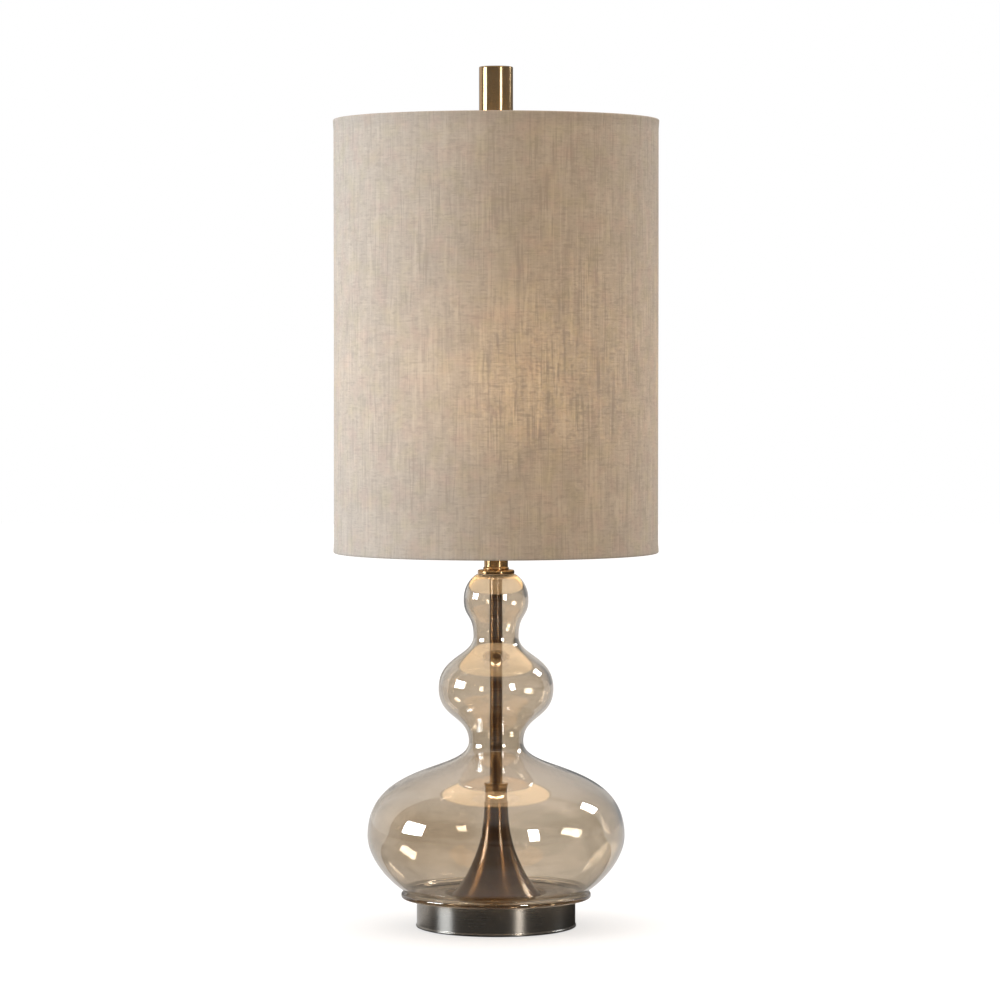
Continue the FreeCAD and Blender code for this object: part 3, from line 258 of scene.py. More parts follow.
def linen():
    """Plain-woven linen: threads, upright slubs, short dark flecks across, and glow."""
    paint = Paint("linen")
    angle, _, z = paint.round_place()
    around = paint.math("MULTIPLY", angle, WALL_R * MM)
    bend = paint.noise(paint.vector(around, z, 0.0), 60.0, 2.0)
    drift = paint.math("MULTIPLY", paint.math("SUBTRACT", bend, 0.5), 0.0006)
    u = paint.math("ADD", around, drift)
    v = paint.math("ADD", z, drift)

    def threads(across, upward, layer, detail=2.0):
        """Noise about 0, stretched by its scales; each layer is a noise of its own."""
        stretched = (paint.math("MULTIPLY", u, across), paint.math("MULTIPLY", v, upward))
        spot = paint.vector(*stretched, layer)
        return paint.math("SUBTRACT", paint.noise(spot, 1.0, detail, 0.6), 0.5)

    def strand(across, upward, layer, width):
        """1 along thin wandering lines, 0 elsewhere."""
        away = paint.math("ABSOLUTE", threads(across, upward, layer, 1.0))
        return paint.spread(away, width * 0.4, width, 1.0, 0.0)

    def patches(across, upward, layer):
        return paint.spread(threads(across, upward, layer, 2.0), -0.04, 0.10)

    level = 0.5
    for across, upward, layer, weight in (
        (520.0, 22.0, 0.0, 0.36),  # fine upright threads
        (220.0, 18.0, 4.0, 0.26),  # slubs
        (40.0, 26.0, 9.0, 0.34),  # cloudy patches
        (60.0, 520.0, 13.0, 0.20),  # threads across
        (260.0, 380.0, 17.0, 0.30),  # short pieces across
    ):
        part = paint.math("MULTIPLY", threads(across, upward, layer), weight)
        level = paint.math("ADD", level, part)
    for line, patch, weight in (
        (strand(170.0, 5.0, 21.0, 0.055), patches(60.0, 16.0, 22.0), 0.16),  # pale upright
        (strand(170.0, 6.0, 25.0, 0.040), patches(90.0, 20.0, 26.0), -0.22),  # dark upright
        (strand(26.0, 260.0, 29.0, 0.075), patches(150.0, 150.0, 30.0), -0.16),  # dark across
        (strand(24.0, 240.0, 33.0, 0.07), patches(120.0, 110.0, 34.0), 0.10),  # pale across
    ):
        part = paint.math("MULTIPLY", paint.math("MULTIPLY", line, patch), weight)
        level = paint.math("ADD", level, part)
    knots = paint.spread(threads(420.0, 420.0, 41.0), 0.22, 0.27, 0.0, -0.3)
    level = paint.math("ADD", level, knots)
    tone = paint.mix(level, LINEN_DARK, LINEN_PALE)
    for layer, tint in ((3.0, LINEN_ROSE), (8.0, LINEN_STRAW)):
        tinted = paint.noise(paint.vector(u, v, layer), 48.0, 2.0)
        tone = paint.mix(paint.spread(tinted, 0.48, 0.7, 0.0, 0.4), tone, tint)
    warp = paint.math("SINE", paint.math("MULTIPLY", u, math.tau / (WARP_PITCH * MM)))
    weft = paint.math("SINE", paint.math("MULTIPLY", v, math.tau / (WEFT_PITCH * MM)))
    weave = paint.math("MULTIPLY", paint.math("MULTIPLY", warp, weft), 0.2)
    normal = paint.bump(paint.math("ADD", weave, paint.math("MULTIPLY", level, 1.5)), 0.10)
    paint.finish(Base_Color=tone, Roughness=0.95, Normal=normal)
    paint.finish(Sheen_Weight=0.15, Sheen_Roughness=0.5, Specular_IOR_Level=0.15)
    light = paint.mix(paint.spread(level, 0.32, 0.68), GLOW_DARK, GLOW_PALE)
    glow = paint.add("BsdfTranslucent", {"Color": light})
    through = paint.add("BsdfRefraction", {"Color": light, "Roughness": 0.95, "IOR": 1.5})
    glow = paint.add("MixShader", {0: STRAIGHT_ON, 1: glow.outputs[0], 2: through.outputs[0]})
    return lit_surface(paint, LINEN_GLOW, paint.shader, glow)


def shade_lining():
    """White styrene, faintly mottled, that lets much of the light through, dimmed."""
    paint = Paint("shade_lining", Roughness=0.45)
    mottle = paint.noise(paint.place(), 220.0, 3.0)
    share = paint.spread(mottle, 0.4, 0.7, 0.0, 0.25)
    tone = paint.mix(share, (0.92, 0.90, 0.85), (0.86, 0.83, 0.77))
    paint.finish(Base_Color=tone, Normal=paint.bump(mottle, 0.02))
    glow = paint.add("BsdfTranslucent", {"Color": rgb(0.44, 0.42, 0.38)})
    return lit_surface(paint, 0.62, paint.shader, glow)


BULB_SHINES, BULB_SEEN = 28.0, 0.18  # strength for the lamp, and for the camera


def opal_glass():
    """Lit opal globe, a little dimmer towards its neck. The camera sees it dimmer."""
    paint = Paint("opal_glass", Roughness=0.25)
    z = paint.split(paint.place())[2]
    frost = paint.noise(paint.place(), 500.0, 2.0)
    tone = paint.mix(frost, (0.93, 0.90, 0.84), (0.88, 0.85, 0.78))
    share = paint.spread(z, 0.465, 0.525, 0.2, 1.0)
    paint.finish(Base_Color=tone)
    light = paint.mix(share, (0.35, 0.24, 0.13), (1.0, 0.76, 0.46))
    to_camera = paint.add("LightPath").outputs["Is Camera Ray"]
    strength = paint.spread(to_camera, 0.0, 1.0, BULB_SHINES, BULB_SEEN)
    return paint.finish(Emission_Color=light, Emission_Strength=strength)


def felt():
    paint = Paint("felt", Roughness=0.95)
    place = paint.place()
    fibres = paint.noise(place, 2400.0, 4.0, 0.7, 1.5)
    clumps = paint.noise(place, 160.0, 3.0)
    tone = paint.mix(fibres, (0.03, 0.03, 0.028), (0.085, 0.085, 0.08))
    tone = paint.mix(paint.spread(clumps, 0.4, 0.7, 0.0, 0.4), tone, (0.11, 0.105, 0.095))
    paint.finish(Sheen_Weight=0.4, Sheen_Roughness=0.6)
    return paint.finish(Base_Color=tone, Normal=paint.bump(fibres, 0.2))


def fibreboard():
    paint = Paint("fibreboard", Roughness=0.85)
    place = paint.place()
    fibres = paint.noise(paint.scaled(place, (1.0, 1.0, 3.0)), 900.0, 4.0, 0.7, 2.0)
    clumps = paint.noise(place, 120.0, 3.0)
    tone = paint.mix(fibres, (0.24, 0.17, 0.11), (0.42, 0.32, 0.22))
    tone = paint.mix(paint.spread(clumps, 0.4, 0.7, 0.0, 0.3), tone, (0.30, 0.22, 0.15))
    return paint.finish(Base_Color=tone, Normal=paint.bump(fibres, 0.08))


def cast_iron():
    paint = Paint("cast_iron", Roughness=0.7, Metallic=0.4)
    place = paint.place()
    sand = paint.noise(place, 700.0, 5.0, 0.7)
    rust = paint.spread(paint.noise(place, 60.0, 4.0, 0.65), 0.55, 0.75, 0.0, 0.5)
    tone = paint.mix(rust, (0.05, 0.05, 0.05), (0.15, 0.08, 0.045))
    return paint.finish(Base_Color=tone, Normal=paint.bump(sand, 0.5))


MATERIALS = {
    "smoked_glass": smoked_glass(),
    "foot_metal": brushed("foot_metal", (0.385, 0.345, 0.30), (0.23, 0.195, 0.155), 0.28),
    "brushed_brass": brushed(
        "brushed_brass", (0.65, 0.42, 0.21), (0.42, 0.26, 0.12), 0.20,
        stretch=0.8, wear=0.15, lined=0.05, groove=0.0006,
    ),
    "dark_bronze": brushed(
        "dark_bronze", (0.10, 0.054, 0.023), (0.058, 0.031, 0.013), 0.36,
        wear=0.2, lined=0.1, groove=0.0006, lacquer=0.8,
    ),
    "cast_iron": cast_iron(),
    "zinc_steel": bright_metal("zinc_steel", (0.66, 0.67, 0.68), 0.32),
    "harp_steel": bright_metal("harp_steel", (0.66, 0.64, 0.60), 0.2),
    "holder_brass": bright_metal("holder_brass", (0.66, 0.52, 0.30), 0.22),
    "gasket": moulded("gasket", (0.46, 0.37, 0.26), 0.5),
    "felt": felt(),
    "fibreboard": fibreboard(),
    "black_plastic": moulded("black_plastic", (0.03, 0.03, 0.03), 0.3),
    "brown_phenolic": moulded("brown_phenolic", (0.16, 0.09, 0.05), 0.45),
    "linen": linen(),
    "shade_lining": shade_lining(),
    "opal_glass": opal_glass(),
    "white_plastic": moulded("white_plastic", (0.9, 0.9, 0.88), 0.5),
}

# ------------------------------------------------------------------- CAD nodes kept
WELD_GAP, CREASE_ANGLE = 1e-5, 25  # metres, degrees

for subpart in frame["record"]["subparts"]:
    node = nodes[subpart["node"]]
    mesh = node.data
    mesh.materials.clear()
    mesh.materials.append(MATERIALS[subpart["material_slot"]])
    if "custom_normal" in mesh.attributes:
        mesh.attributes.remove(mesh.attributes["custom_normal"])
    mesh.shade_smooth()
    weld = node.modifiers.new("Weld", "WELD")
    weld.merge_threshold = WELD_GAP
    split = node.modifiers.new("Creases", "EDGE_SPLIT")
    split.split_angle = math.radians(CREASE_ANGLE)


# ------------------------------------------------------------------------ builders
def eased(points, amount, closed=True, steps=4):
    """The outline with each corner rounded over up to amount millimetres."""
    result = []
    count = len(points)
    for number, corner in enumerate(points):
        corner = Vector(corner)
        inner = closed or 0 < number < count - 1
        before = Vector(points[number - 1])
        after = Vector(points[(number + 1) % count])
        if not inner or corner.x < 1e-6:
            result.append(tuple(corner))
            continue
        back, ahead = before - corner, after - corner
        first = corner + back.normalized() * min(amount, back.length * 0.45)
        last = corner + ahead.normalized() * min(amount, ahead.length * 0.45)
        for step in range(steps + 1):
            t = step / steps
            point = first * (1 - t) ** 2 + corner * 2 * t * (1 - t) + last * t**2
            result.append(tuple(point))
    return result


def curve(start, start_handle, end_handle, end, steps=22):
    """Points of a cubic curve after its start."""
    poles = [Vector(p) for p in (start, start_handle, end_handle, end)]
    points = []
    for step in range(1, steps + 1):
        t = step / steps
        shares = ((1 - t) ** 3, 3 * t * (1 - t) ** 2, 3 * t * t * (1 - t), t**3)
        points.append(tuple(sum((p * s for p, s in zip(poles, shares)), Vector((0, 0)))))
    return points


def inward(points, distance):
    """Points moved to the left of their way, which is inwards on the way up."""
    moved = []
    for number, point in enumerate(points):
        before = Vector(points[max(number - 1, 0)])
        after = Vector(points[min(number + 1, len(points) - 1)])
        way = (after - before).normalized()
        moved.append((point[0] - way.y * distance, point[1] + way.x * distance))
    return moved


def turned(outline, closed=True, faces_round=ROUND, reach=None):
    """Vertices and faces of an outline turned about Z.

    reach(angle, radius, height) may change a point's radius.
    """
    verts, rings = [], []
    for r, z in outline:
        if r < 1e-6:
            rings.append([len(verts)] * faces_round)
            verts.append((0.0, 0.0, z * MM))
            continue
        rings.append(list(range(len(verts), len(verts) + faces_round)))
        for step in range(faces_round):
            angle = 2 * math.pi * step / faces_round
            at = (reach(angle, r, z) if reach else r) * MM
            verts.append((at * math.cos(angle), at * math.sin(angle), z * MM))
    faces = []
    pairs = list(zip(rings, rings[1:])) + ([(rings[-1], rings[0])] if closed else [])
    for low, high in pairs:
        for step in range(faces_round):
            following = (step + 1) % faces_round
            corners = (low[step], low[following], high[following], high[step])
            face = tuple(dict.fromkeys(corners))
            if len(face) > 2:
                faces.append(face)
    return verts, faces


def piece(name, shape, body, slot, replaced=(), crease=35):
    """An object from vertices and faces that rides on a body."""
    mesh = bpy.data.meshes.new(name)
    mesh.from_pydata(shape[0], [], shape[1])
    work = bmesh.new()
    work.from_mesh(mesh)
    bmesh.ops.recalc_face_normals(work, faces=work.faces)
    work.to_mesh(mesh)
    work.free()
    mesh.shade_smooth()
    mesh.set_sharp_from_angle(angle=math.radians(crease))
    mesh.materials.append(MATERIALS[slot])
    result = bpy.data.objects.new(name, mesh)
    bpy.context.scene.collection.objects.link(result)
    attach(result, body)
    if replaced:
        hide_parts(*replaced)
    return result


# ---------------------------------------------------------------------------- glass
GLASS_BASE, GLASS_TOP = 27.8, 331.5
WALL = 3.0
WAIST = (82.0, 32.3)  # where the wall leaves the flange
BULBS = [  # radius and height where the wall is upright, with the reach of its handles
    (121.0, 86.5, 0.785),
    (25.6, 174.5, 0.34, 0.49),
    (54.0, 224.5, 0.57, 0.62),
    (21.2, 273.5, 0.38, 0.61),
    (30.4, 307.5, 0.48),
]


def glass_wall():
    """The glass's outer line from the flange to the rim."""
    big, top = BULBS[0], BULBS[-1]
    rise = big[1] - WAIST[1]
    line = [WAIST]
    line += curve(WAIST, (96.0, 38.3), (big[0], big[1] - rise * 0.44), big[:2], 40)
    for lower, upper in zip(BULBS, BULBS[1:]):
        rise = upper[1] - lower[1]
        leave = (lower[0], lower[1] + rise * lower[-1])
        arrive = (upper[0], upper[1] - rise * upper[2])
        line += curve(lower[:2], leave, arrive, upper[:2], 30)
    line += curve(top[:2], (top[0], 319.5), (25.0, 327.0), (18.5, GLASS_TOP), 20)
    return line


def wave(angle, radius, height):
    """Slow unevenness of blown glass, in millimetres."""
    return (
        0.10 * math.sin(2 * angle + 0.021 * height)
        + 0.07 * math.sin(3 * angle - 0.034 * height + 1.1)
        + 0.04 * math.sin(5 * angle + 0.083 * height + 2.3)
    )


def glass_stem():
    """Blown body on its rounded flange; the inner face is a little uneven."""
    wall = glass_wall()
    hollow = [p for p in inward(wall, WALL) if 34.0 < p[1] < GLASS_TOP - WALL]
    flange = [(47.6, GLASS_BASE), (89.25, GLASS_BASE), (89.25, 32.3), (83.2, 32.3)]
    outside = eased(flange, 1.9, closed=False, steps=6)[1:] + [(83.0, 32.45)] + wall[2:]
    top = [(10.5, GLASS_TOP), (10.5, GLASS_TOP - WALL)]
    inside = [(hollow[-1][0] - 1.2, GLASS_TOP - WALL)] + hollow[::-1]
    floor_line = [(80.2, 34.2), (78.4, 30.8), (47.6, 30.8), (47.6, GLASS_BASE)]
    outline = outside + top + inside + eased(floor_line, 1.3, closed=False)
    uneven = set(inside)

    def reach(angle, radius, height):
        return radius + (wave(angle, radius, height) if (radius, height) in uneven else 0.0)

    shape = turned(outline, faces_round=192, reach=reach)
    piece("glass_stem", shape, "stand", "smoked_glass", ["glass_body"], crease=50)


glass_stem()

# ----------------------------------------------------------------- inside the glass
THROAT, HORN_RIM = (11.0, 117.0), (42.6, 28.6)
HORN_FOOT, HORN_WALL = 27.1, 1.0
throat_handle = (THROAT[0], THROAT[1] - (THROAT[1] - HORN_RIM[1]) * 0.51)
flare = [THROAT] + curve(THROAT, throat_handle, (29.6, 41.6), HORN_RIM, 60)
flare += [(43.0, 27.9), (42.5, HORN_FOOT)]
upturned = inward([(r, -z) for r, z in flare], HORN_WALL)
inner_flare = [(r, max(-z, HORN_FOOT)) for r, z in upturned]
piece("horn_flare", turned(flare + inner_flare[::-1]), "stand", "dark_bronze", ["horn"])
collar = [
    (5.0, 113.0), (9.9, 113.0), (9.9, 117.0), (11.2, 117.0), (11.2, 119.2), (10.3, 119.2),
    (10.3, 124.2), (10.0, 124.6), (10.0, 125.4), (10.3, 125.8), (10.3, 132.8), (11.2, 132.8),
    (11.2, 135.0), (6.05, 135.0), (6.05, 132.0), (5.0, 132.0),
]
piece("horn_ferrule", turned(eased(collar, 0.45)), "stand", "dark_bronze", ["horn_collar"])
stalk = [(5.2, 132.0), (6.0, 132.0), (6.0, 327.3), (5.2, 327.3)]
stalk_shape = turned(eased(stalk, 0.2), faces_round=72)
piece("stem_tube", stalk_shape, "stand", "dark_bronze", ["centre_tube"])

# --------------------------------------------------------------------- brass above
cap = [
    (4.9, 327.3), (10.2, 327.3), (10.2, 332.3), (17.2, 332.3), (17.2, 335.0), (16.4, 335.9),
    (4.9, 335.9),
]
piece("neck_disc", turned(eased(cap, 0.4)), "stand", "brushed_brass", ["neck_cap"])
sleeve = [
    (10.0, 335.9), (11.9, 335.9), (12.1, 336.6), (12.1, 337.7), (11.7, 338.3), (11.2, 338.5),
    (11.2, 395.9), (10.0, 395.9),
]
piece("neck_sleeve", turned(eased(sleeve, 0.35)), "stand", "brushed_brass", ["neck_tube"])

# ----------------------------------------------------------------------------- foot
foot = [
    (73.1, 0.6), (75.0, 0.6), (75.4, 1.1), (75.4, 2.0), (75.0, 2.5), (74.6, 2.9),
    (74.6, 25.8), (74.2, 26.6), (73.4, 27.0), (4.9, 27.0), (4.9, 25.5), (73.1, 25.5),
]
FOOT_WALL_MIDDLE = 74.0
CORD_HOLE_Z, CORD_HOLE_R = 14.0, 5.5


def drill_cord_hole(cup):
    """Cuts the round hole for the cord's bushing through the back of the foot."""
    radius = CORD_HOLE_R * MM
    work = bmesh.new()
    bmesh.ops.create_cone(
        work, cap_ends=True, segments=48, radius1=radius, radius2=radius, depth=10 * MM
    )
    shift = Matrix.Translation((0.0, FOOT_WALL_MIDDLE * MM, CORD_HOLE_Z * MM))
    turn = Matrix.Rotation(math.pi / 2, 4, "X")
    bmesh.ops.transform(work, matrix=shift @ turn, verts=work.verts)
    mesh = bpy.data.meshes.new("cord_drill")
    work.to_mesh(mesh)
    work.free()
    drill = bpy.data.objects.new("cord_drill", mesh)
    bpy.context.scene.collection.objects.link(drill)
    cutting = cup.modifiers.new("Cord hole", "BOOLEAN")
    cutting.operation, cutting.solver, cutting.object = "DIFFERENCE", "EXACT", drill
    bpy.context.view_layer.objects.active = cup
    bpy.ops.object.modifier_apply(modifier="Cord hole")
    bpy.data.objects.remove(drill)


foot_cup = piece("foot_cup", turned(eased(foot, 0.4)), "stand", "foot_metal", ["foot_shell"])
drill_cord_hole(foot_cup)

# ----------------------------------------------------------------------------- bulb
BASE_BOTTOM, GLOBE_BOTTOM = 439.8, 461.8
BELLY_R, BELLY_Z = 30.0, 518.8
globe = [(0.0, GLOBE_BOTTOM), (13.0, GLOBE_BOTTOM)]
globe += curve(globe[-1], (13.0, 478.9), (BELLY_R, 491.44), (BELLY_R, BELLY_Z), 30)
for step in range(1, 24):
    a = math.radians(90 * step / 24)
    globe.append((BELLY_R * math.cos(a), BELLY_Z + BELLY_R * math.sin(a)))
globe.append((0.0, BELLY_Z + BELLY_R))
globe_shape = turned(globe, closed=False, faces_round=96)
piece("lit_globe", globe_shape, "bulb", "opal_glass", ["bulb_globe"])

ROOT_R, CREST_R, THREAD_PITCH = 12.5, 13.1, 3.6


def thread(angle, radius, height):
    """Rolled thread of the bulb's base: radius at its crests and roots."""
    if radius < ROOT_R:
        return radius
    turn = (height - BASE_BOTTOM - 1.6) / THREAD_PITCH - angle / math.tau
    run_in, run_out = (height - BASE_BOTTOM - 1.4) / 1.5, (GLOBE_BOTTOM - 1.8 - height) / 1.5
    fade = min(1.0, max(0.0, run_in), max(0.0, run_out))
    return radius + (CREST_R - ROOT_R) * fade * (0.5 - 0.5 * math.cos(math.tau * turn))


threads = [(ROOT_R, BASE_BOTTOM + 0.25 * step) for step in range(89)]
base_outline = [(11.7, BASE_BOTTOM)] + threads + [(11.7, GLOBE_BOTTOM)]
base_shape = turned(base_outline, faces_round=96, reach=thread)
piece("screw_base", base_shape, "bulb", "zinc_steel", ["bulb_base"])

# ---------------------------------------------------------------------------- shade
SHADE_TOP, SHADE_BOTTOM = 757.0, 352.0
RIM_R, LIP_R = 152.5, 147.0
OVERLAP, PROUD = 13.0, 0.35  # glued seam at the back: its width, and how far it stands out
LINER_R = 150.9
WALL_END, WALL_STEPS = 10.0, 25  # where the straight wall starts, and its faces upwards


def rim_line(end, way):
    """Fabric from inside the ring, round it and out to the wall; way points to the middle."""
    corners = [
        (LIP_R, end + 9.0 * way), (LIP_R - 0.2, end + 1.2 * way), (LIP_R + 1.2, end),
        (RIM_R - 0.9, end), (RIM_R, end + 0.9 * way), (RIM_R - 0.1, end + 3.0 * way),
        (WALL_R, end + 9.5 * way),
    ]
    return eased(corners, 1.2, closed=False)


def seam(angle, radius, height):
    """Glued overlap at the back, a third of a millimetre proud, and very slight waviness."""
    wide = OVERLAP / 2 / WALL_R
    away = abs(angle - math.pi / 2)
    proud = PROUD * min(1.0, max(0.0, (wide - away) / 0.006)) if away < wide else 0.0
    up = (height - SHADE_BOTTOM) / (SHADE_TOP - SHADE_BOTTOM)
    ripple = 0.12 * math.sin(7 * angle + 0.013 * height) * math.sin(math.pi * up)
    return min(radius + proud + (ripple if radius < RIM_R - 0.3 else 0.0), RIM_R)


wall_foot = SHADE_BOTTOM + WALL_END
wall_step = (SHADE_TOP - WALL_END - wall_foot) / WALL_STEPS
upright = [(WALL_R, wall_foot + wall_step * step) for step in range(WALL_STEPS + 1)]
cloth_line = rim_line(SHADE_BOTTOM, 1) + upright + rim_line(SHADE_TOP, -1)[::-1]
cloth = piece(
    "linen_drum",
    turned(cloth_line, closed=False, faces_round=288, reach=seam),
    "shade",
    "linen",
    ["shade_fabric"],
    crease=60,
)
lining = [(LINER_R, SHADE_BOTTOM + 0.9), (LINER_R, SHADE_TOP - 0.9)]
liner = piece(
    "styrene_lining",
    turned(lining, closed=False, faces_round=192),
    "shade",
    "shade_lining",
    ["shade_liner"],
)
liner.visible_shadow = False

# --------------------------------------------------------------------------- finial
finial = [
    (14.7, 746.0), (15.3, 746.0), (15.9, 746.7), (15.9, 805.6), (15.5, 806.2), (14.6, 806.5),
    (0.0, 806.5), (0.0, 804.5), (14.7, 804.5),
]
piece("finial_cup", turned(eased(finial, 0.4)), "finial", "brushed_brass", ["finial_shell"])


# --------------------------------------------------------------------------- switch
SWITCH_Z, FLUTES = 425.8, 18


def knob_shape():
    """Fluted hub that runs out into a flat paddle, along X."""
    verts, faces = [], []
    count = 72
    sections = [  # place along X, share of paddle, size
        (24.0, 0.0, 0.90), (24.4, 0.0, 1.0), (28.6, 0.0, 1.0), (29.6, 0.10, 1.0),
        (30.6, 0.35, 1.0), (31.8, 0.75, 1.0), (33.0, 1.0, 1.0), (37.6, 1.0, 1.0),
        (38.8, 1.0, 0.96), (39.3, 1.0, 0.88), (39.5, 1.0, 0.76),
    ]
    for x, share, size in sections:
        for step in range(count):
            angle = 2 * math.pi * step / count
            c, s = math.cos(angle), math.sin(angle)
            flute = 4.5 - 0.22 * (0.5 + 0.5 * math.cos(FLUTES * angle))
            flat_y = 6.5 * math.copysign(abs(c) ** 0.5, c)
            flat_z = 1.7 * math.copysign(abs(s) ** 0.5, s)
            y = (flute * c * (1 - share) + flat_y * share) * size
            z = (flute * s * (1 - share) + flat_z * share) * size
            verts.append((x * MM, y * MM, (SWITCH_Z + z) * MM))
    for section in range(len(sections) - 1):
        for step in range(count):
            low, next_low = section * count + step, section * count + (step + 1) % count
            faces.append((low, next_low, next_low + count, low + count))
    faces.append(tuple(range(count)))
    faces.append(tuple(range((len(sections) - 1) * count, len(sections) * count)))
    return verts, faces


piece("switch_key", knob_shape(), "switch", "black_plastic", ["switch_knob"])

# ---------------------------------------------------------------------------- stage
UNDER_LAMP, AROUND = 0.62, 0.86  # brightness of the floor: lower close under the lamp, a painted shadow, and farther around
ROOM_ENDS = (0.36, 0.39)  # where the room in mirrors gives way to the backdrop, towards +Y


def floor_material():
    """Pale floor that keeps the lamp's shadow and glows less close round its foot, a painted
    shadow; what glass and metal show of it is dimmer.
    """
    paint = Paint("floor", Roughness=0.9)
    rays = paint.add("LightPath").outputs
    x, y, _ = paint.split(paint.place())
    _, distance, _ = paint.round_place()

    # Seen by the camera or straight through glass; dimmer there after a mirrored bounce.
    through = rays["Is Transmission Ray"]
    clear = paint.math("SUBTRACT", through, rays["Glossy Depth"])
    clear = paint.math("MAXIMUM", clear, paint.math("MULTIPLY", through, 0.35))
    seen = paint.math("MAXIMUM", rays["Is Camera Ray"], clear)
    # Painted shadow: the floor glows less within 0.2 m of the lamp's middle.
    pale = paint.spread(distance, 0.078, 0.20, UNDER_LAMP, AROUND)
    lift = paint.math("MULTIPLY", seen, pale)

    # Mirrored in glass: dim near the foot and darker farther off, but bright behind the lamp.
    mirrored = paint.math("MAXIMUM", paint.math("SUBTRACT", rays["Is Glossy Ray"], through), 0.0)
    in_glass = paint.math("MINIMUM", mirrored, rays["Is Singular Ray"])
    near = paint.spread(distance, 0.15, 0.19, 0.22, 0.03)
    behind = paint.spread(paint.math("DIVIDE", y, distance), *ROOM_ENDS, 0.0, 0.65)
    near = paint.math("MAXIMUM", near, behind)
    lift = paint.math("ADD", lift, paint.math("MULTIPLY", in_glass, near))

    # Mirrored in metal: only the rear left is bright.
    in_metal = paint.math("SUBTRACT", mirrored, in_glass)
    left = paint.spread(paint.math("DIVIDE", x, distance), -0.35, -0.15, 0.6, 0.0)
    rear = paint.spread(paint.math("DIVIDE", y, distance), -0.05, 0.10)
    in_metal = paint.math("MULTIPLY", in_metal, paint.math("MULTIPLY", left, rear))
    lift = paint.math("ADD", lift, in_metal)

    shown = paint.mix(mirrored, (0.30, 0.30, 0.30), (0.02, 0.02, 0.02))
    paint.finish(Base_Color=shown, Specular_IOR_Level=0.0)
    lit = paint.add("Emission", {"Strength": lift})
    both = paint.add("AddShader", {0: paint.shader.outputs[0], 1: lit.outputs[0]})
    paint.feed(paint.output.inputs["Surface"], both.outputs[0])
    return paint.material


FLOOR_REACH, FLOOR_Z = 9.0, -0.0002
corners = [(-1, -1), (1, -1), (1, 1), (-1, 1)]
floor_mesh = bpy.data.meshes.new("floor")
floor_mesh.from_pydata(
    [(x * FLOOR_REACH, y * FLOOR_REACH, FLOOR_Z) for x, y in corners], [], [(0, 1, 2, 3)]
)
floor_mesh.materials.append(floor_material())
floor = bpy.data.objects.new("floor", floor_mesh)
bpy.context.scene.collection.objects.link(floor)

FILL_BACK, FILL_FRONT, FILL_RIGHT = 0.94, 0.66, 0.07  # diffuse light from each side
BACKDROP, PANEL, ROOM = 1.0, 0.6, 0.36  # what glass and metal show: behind, left, elsewhere


def studio_world():
    """White backdrop; even fill for cloth, and a darker room for glass and metal to show."""
    world = bpy.data.worlds.new("studio")
    bpy.context.scene.world = world
    world.use_nodes = True
    world.node_tree.nodes.clear()
    sky = Nodes(world.node_tree)
    rays = sky.add("LightPath").outputs
    way_x, way_y, way_z = sky.split(sky.add("TexCoord").outputs["Generated"])

    through = rays["Is Transmission Ray"]
    reflected = sky.math("SUBTRACT", 1.0, through)
    mirror = sky.math("MULTIPLY", reflected, rays["Is Singular Ray"])
    clear = sky.math("SUBTRACT", through, rays["Glossy Depth"])

    # Towards the front glass and metal show a dim room: a band low down, and its ceiling.
    front = sky.spread(way_z, -0.02, 0.07, 0.02, ROOM)
    front = sky.math("MULTIPLY", front, sky.spread(way_z, 0.10, 0.18, 1.0, 0.2))
    front = sky.math("ADD", front, sky.spread(way_z, 0.50, 0.70, 0.0, 0.45))
    dimmed = sky.math("SUBTRACT", 1.0, sky.math("MULTIPLY", mirror, 0.6))
    front = sky.math("MULTIPLY", front, dimmed)
    front = sky.math("MAXIMUM", front, sky.math("MULTIPLY", clear, 0.75))

    # Towards the back they show a panel on the left, the backdrop, and a darker right side.
    left = sky.math("ADD", PANEL, sky.math("MULTIPLY", mirror, 0.3))
    middle = sky.math("SUBTRACT", BACKDROP, sky.math("MULTIPLY", reflected, 0.7))
    right = sky.math("ADD", 0.14, sky.math("MULTIPLY", mirror, 0.5))
    back = sky.spread(way_x, -0.50, -0.35, left, sky.spread(way_x, 0.15, 0.40, middle, right))
    shown = sky.spread(way_y, *ROOM_ENDS, front, back)
    gloss = sky.math("MULTIPLY", rays["Is Glossy Ray"], shown)

    # Cloth is lit evenly, a little more from the back and the right, and warmer in front.
    fill = sky.spread(way_y, -0.1, 0.5, FILL_FRONT, FILL_BACK)
    fill = sky.math("ADD", fill, sky.spread(way_x, 0.0, 1.0, 0.0, FILL_RIGHT))
    fill = sky.math("MULTIPLY", fill, sky.math("SUBTRACT", 1.0, rays["Is Glossy Ray"]))
    level = sky.math("MAXIMUM", sky.math("ADD", gloss, fill), rays["Is Camera Ray"])
    warm = sky.math("MULTIPLY", sky.spread(way_y, -0.1, 0.5, 1.0, 0.0), rays["Is Diffuse Ray"])
    tint = sky.mix(warm, (1.0, 1.0, 1.0), (1.25, 0.98, 0.73))
    shader = sky.add("Background", {"Color": tint, "Strength": level})
    sky.add("OutputWorld", {"Surface": shader.outputs[0]})


studio_world()

COOL = (0.89, 1.0, 1.12)
WINDOWS = {  # azimuth from the front, to the right; height, width, tallness; light and colour
    "left": (-80, 0.69, 0.85, 0.66, 14.2, COOL),
    "right": (34, 0.66, 0.34, 0.70, 13.0, (1.0, 0.99, 0.97)),
    "behind": (118, 1.46, 0.50, 0.60, 8.5, COOL),
}
WINDOW_DISTANCE, GLINT_DISTANCE = 2.10, 2.09
AIM = Vector((0.0, 0.0, 0.3))
GLINT = 24.0


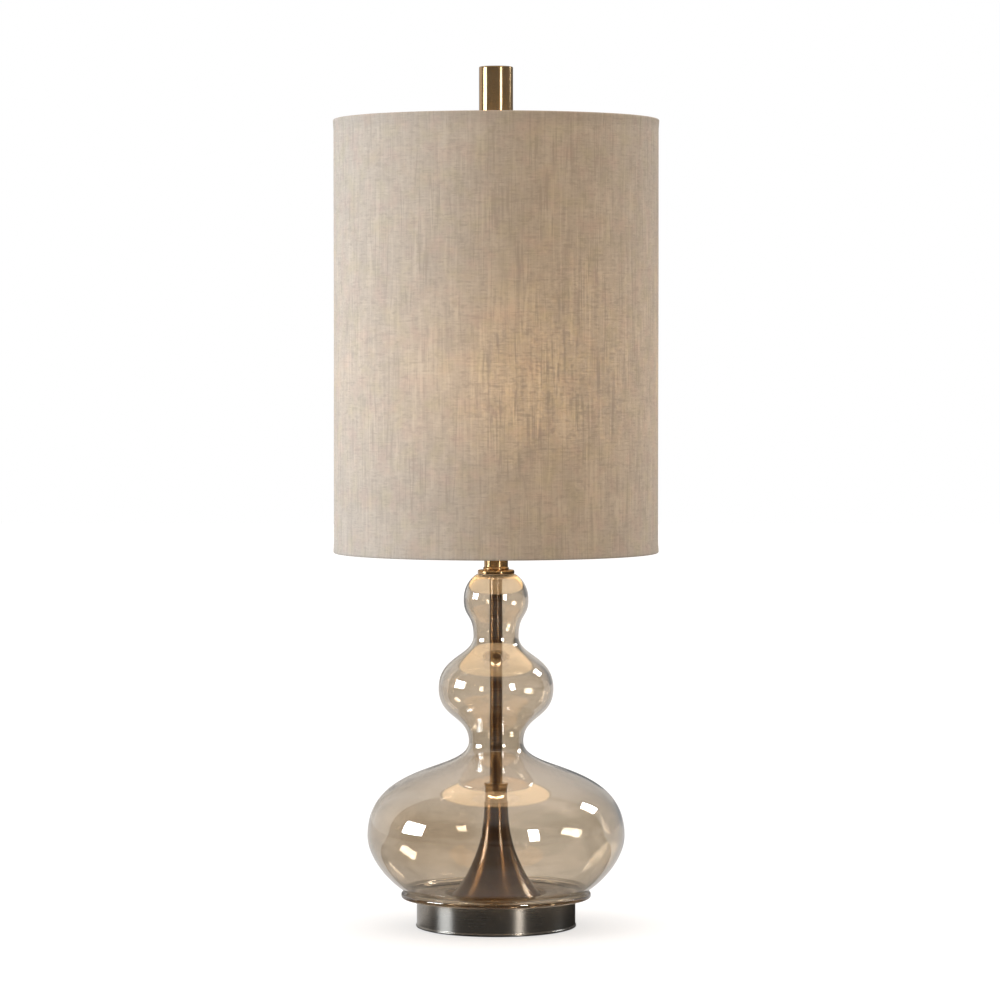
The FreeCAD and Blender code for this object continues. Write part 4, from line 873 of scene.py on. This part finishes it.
def area_lamp(name, sizes, radiance, colour, location, only=None, diffuse=True):
    """A lamp of sizes (width, height), or (diameter,) for a disc, that lights all or only some."""
    lamp = bpy.data.lights.new(name, "AREA")
    lamp.shape = "RECTANGLE" if len(sizes) == 2 else "DISK"
    lamp.size = sizes[0]
    lamp.size_y = sizes[-1]
    area = sizes[0] * sizes[-1] * (1.0 if len(sizes) == 2 else math.pi / 4)
    lamp.energy = radiance * math.pi * area
    lamp.color = colour
    holder = bpy.data.objects.new(name, lamp)
    holder.location = location
    holder.visible_diffuse = diffuse
    if only:
        lit = bpy.data.collections.new(name)
        for lit_name in only:
            lit.objects.link(bpy.data.objects[lit_name])
        holder.light_linking.receiver_collection = lit
    bpy.context.scene.collection.objects.link(holder)
    return holder


def window(name, azimuth, distance, height, sizes, radiance, colour, only=None, diffuse=True):
    a = math.radians(azimuth)
    location = Vector((distance * math.sin(a), -distance * math.cos(a), height))
    holder = area_lamp(name, sizes, radiance, colour, location, only, diffuse)
    holder.rotation_euler = (AIM - location).to_track_quat("-Z", "Y").to_euler()


# Each window lights the lamp, the right one by its gloss alone, and the glass shows it brighter.
for side, (azimuth, height, wide, tall, radiance, colour) in WINDOWS.items():
    window(
        f"window_{side}", azimuth, WINDOW_DISTANCE, height, (wide, tall), radiance, colour,
        diffuse=side != "right",
    )
    window(
        f"glint_{side}", azimuth, GLINT_DISTANCE, height, (wide, tall), GLINT, (1.0, 1.0, 1.0),
        only=["glass_stem"], diffuse=False,
    )

# A narrow bright edge down the right of the bronze.
window(
    "edge_strip", 116, WINDOW_DISTANCE, 0.75, (0.10, 1.1), 9.0, (1.0, 0.97, 0.92),
    only=["horn_flare", "horn_ferrule", "stem_tube"], diffuse=False,
)

# The lit shade as the glass mirrors it: a disc in its lower opening, facing down.
opening = area_lamp(
    "shade_opening", (0.296,), 1.7, (1.0, 0.66, 0.34), (0.0, 0.0, 0.360),
    only=["glass_stem"], diffuse=False,
)
opening.visible_camera = False

# --------------------------------------------------------------------------- camera
LOOKS_DOWN = 2.068  # degrees
CAMERA_PLACE = (0.0037, -3.84, 0.540)
LENS, SENSOR = 147.5, 36.0  # millimetres
camera_data = bpy.data.cameras.new("camera")
camera_data.lens = LENS
camera_data.sensor_width = SENSOR
camera_data.clip_end = 60.0
camera = bpy.data.objects.new("camera", camera_data)
camera.location = CAMERA_PLACE
camera.rotation_euler = (math.radians(90 - LOOKS_DOWN), 0.0, 0.0)
bpy.context.scene.collection.objects.link(camera)
scene = bpy.context.scene
scene.camera = camera
scene.view_settings.view_transform = "Standard"
scene.cycles.max_bounces = 24
scene.cycles.transmission_bounces = 20
scene.cycles.glossy_bounces = 8
scene.cycles.transparent_max_bounces = 16
